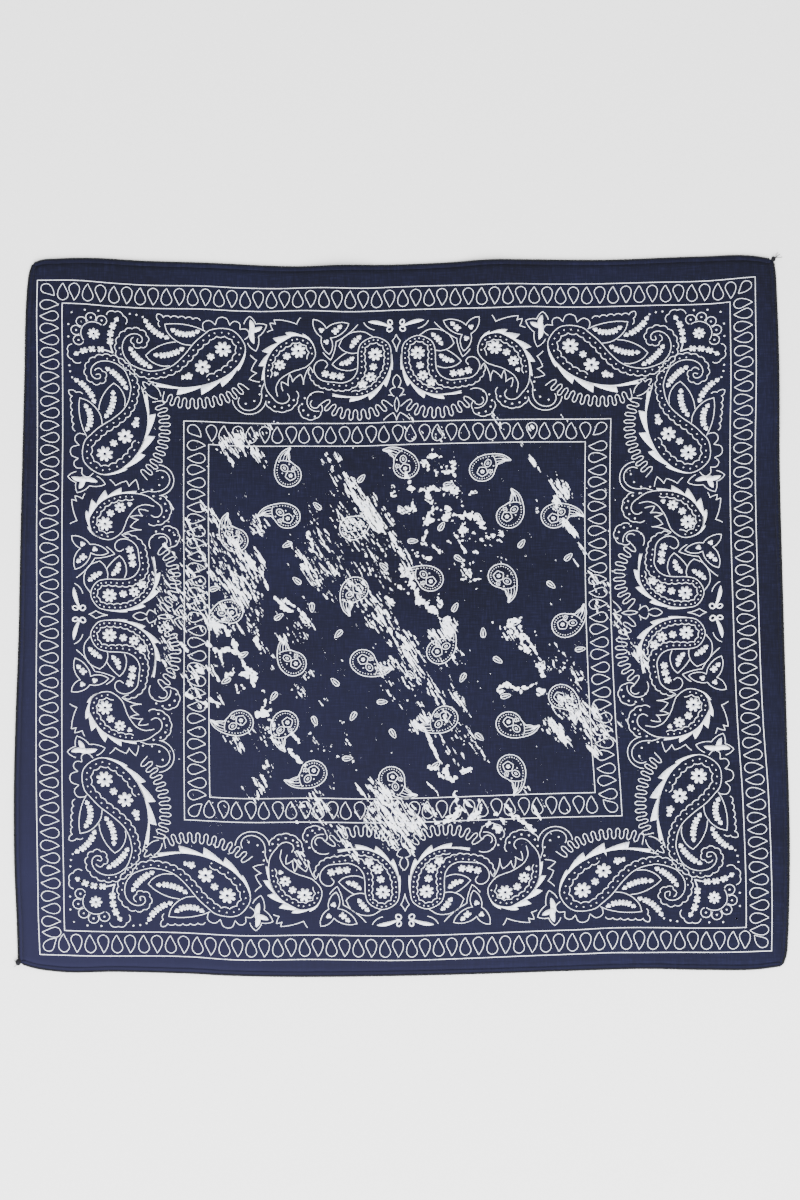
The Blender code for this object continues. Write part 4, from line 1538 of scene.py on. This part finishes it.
white_streaks = np.full(across.shape, SPECKS)
for u, v, half_length, half_width, way, share in STREAKS:
    reach = 1.5 * max(half_length, half_width)
    cols = slice(*np.clip([int((u + d - left_edge) / WEAR_CELL) for d in (-reach, reach)], 0, None))
    rows = slice(*np.clip([int((v + d - low_edge) / WEAR_CELL) for d in (-reach, reach)], 0, None))
    dx, dy = across[rows, cols] - u, up[rows, cols] - v
    cosine, sine = math.cos(math.radians(way)), math.sin(math.radians(way))
    away = ((dx * cosine + dy * sine) / half_length) ** 2
    away += ((dy * cosine - dx * sine) / half_width) ** 2
    here = STREAK_STRENGTH * share * np.clip(1.2 - 0.6 * away, 0, 1)
    white_streaks[rows, cols] = np.maximum(white_streaks[rows, cols], here)

white_blots = np.zeros(across.shape)
swelling = 0.3 + 1.3 * grain(across, up, 5.0, 5.0, chance)
spots = np.stack([across, up], axis=-1)
for half_width, share, *line in BLOTS:
    for start, end in zip(line, line[1:]):
        start, run = np.array(start, float), np.array(end, float) - np.array(start, float)
        along = np.clip((spots - start) @ run / (run @ run), 0, 1)
        away = np.linalg.norm(spots - start - along[..., None] * run, axis=-1)
        away = away / half_width / swelling
        here = share * np.clip(1.22 - 0.78 * away, 0, 1)
        white_blots = np.maximum(white_blots, here)
whiteness = np.maximum(white_streaks - streaky, white_blots - blotchy) - WEAR_LOSS

# The border of the white is followed from cell to cell. Corners a, b, c and d of a cell run
# round it from its lower left, and a crossing lies on each side where the border passes.
is_white = whiteness > 0
corner_number = np.cumsum(is_white).reshape(is_white.shape) - 1
wear_points = [np.stack([across[is_white], up[is_white]], axis=1)]
count = len(wear_points[0])
crossing_number = []
for shift_row, shift_col in ((0, 1), (1, 0)):
    rows, cols = is_white.shape
    one = (slice(0, rows - shift_row), slice(0, cols - shift_col))
    other = (slice(shift_row, rows), slice(shift_col, cols))
    crossed = is_white[one] != is_white[other]
    number = np.full(is_white.shape, -1)
    number[one][crossed] = count + np.arange(crossed.sum())
    share = whiteness[one][crossed] / (whiteness[one] - whiteness[other])[crossed]
    share = np.clip(share, 0.1, 0.9)
    x = across[one][crossed] + share * WEAR_CELL * shift_col
    y = up[one][crossed] + share * WEAR_CELL * shift_row
    wear_points.append(np.stack([x, y], axis=1))
    crossing_number.append(number)
    count += crossed.sum()
wear_points = np.concatenate(wear_points)
sideways, upwards = crossing_number

wear_faces = {third: [] for third, _ in THIRDS}
cell_code = (
    is_white[:-1, :-1] + 2 * is_white[:-1, 1:] + 4 * is_white[1:, 1:] + 8 * is_white[1:, :-1]
)
for row, col in zip(*np.nonzero(cell_code)):
    code = cell_code[row, col]
    corners = [(row, col), (row, col + 1), (row + 1, col + 1), (row + 1, col)]
    crossings = [
        sideways[row, col], upwards[row, col + 1], sideways[row + 1, col], upwards[row, col]
    ]
    if code in (5, 10):
        pieces = [
            (corner_number[corners[k]], crossings[k], crossings[k - 1])
            for k in ((0, 2) if code == 5 else (1, 3))
        ]
    else:
        ring = []
        for k in range(4):
            if is_white[corners[k]]:
                ring.append(corner_number[corners[k]])
            if crossings[k] >= 0:
                ring.append(crossings[k])
        pieces = [tuple(ring)]
    third = next(name for name, border in THIRDS if across[row, col] < border)
    wear_faces[third] += pieces

for third, faces in wear_faces.items():
    used = np.unique(np.concatenate([np.array(face) for face in faces]))
    renumber = np.zeros(len(wear_points), int)
    renumber[used] = np.arange(len(used))
    print_on(
        "print_wear_" + third,
        [(wear_points[used], [tuple(int(renumber[i]) for i in face) for face in faces])],
        above=SECOND_PASS,
    )
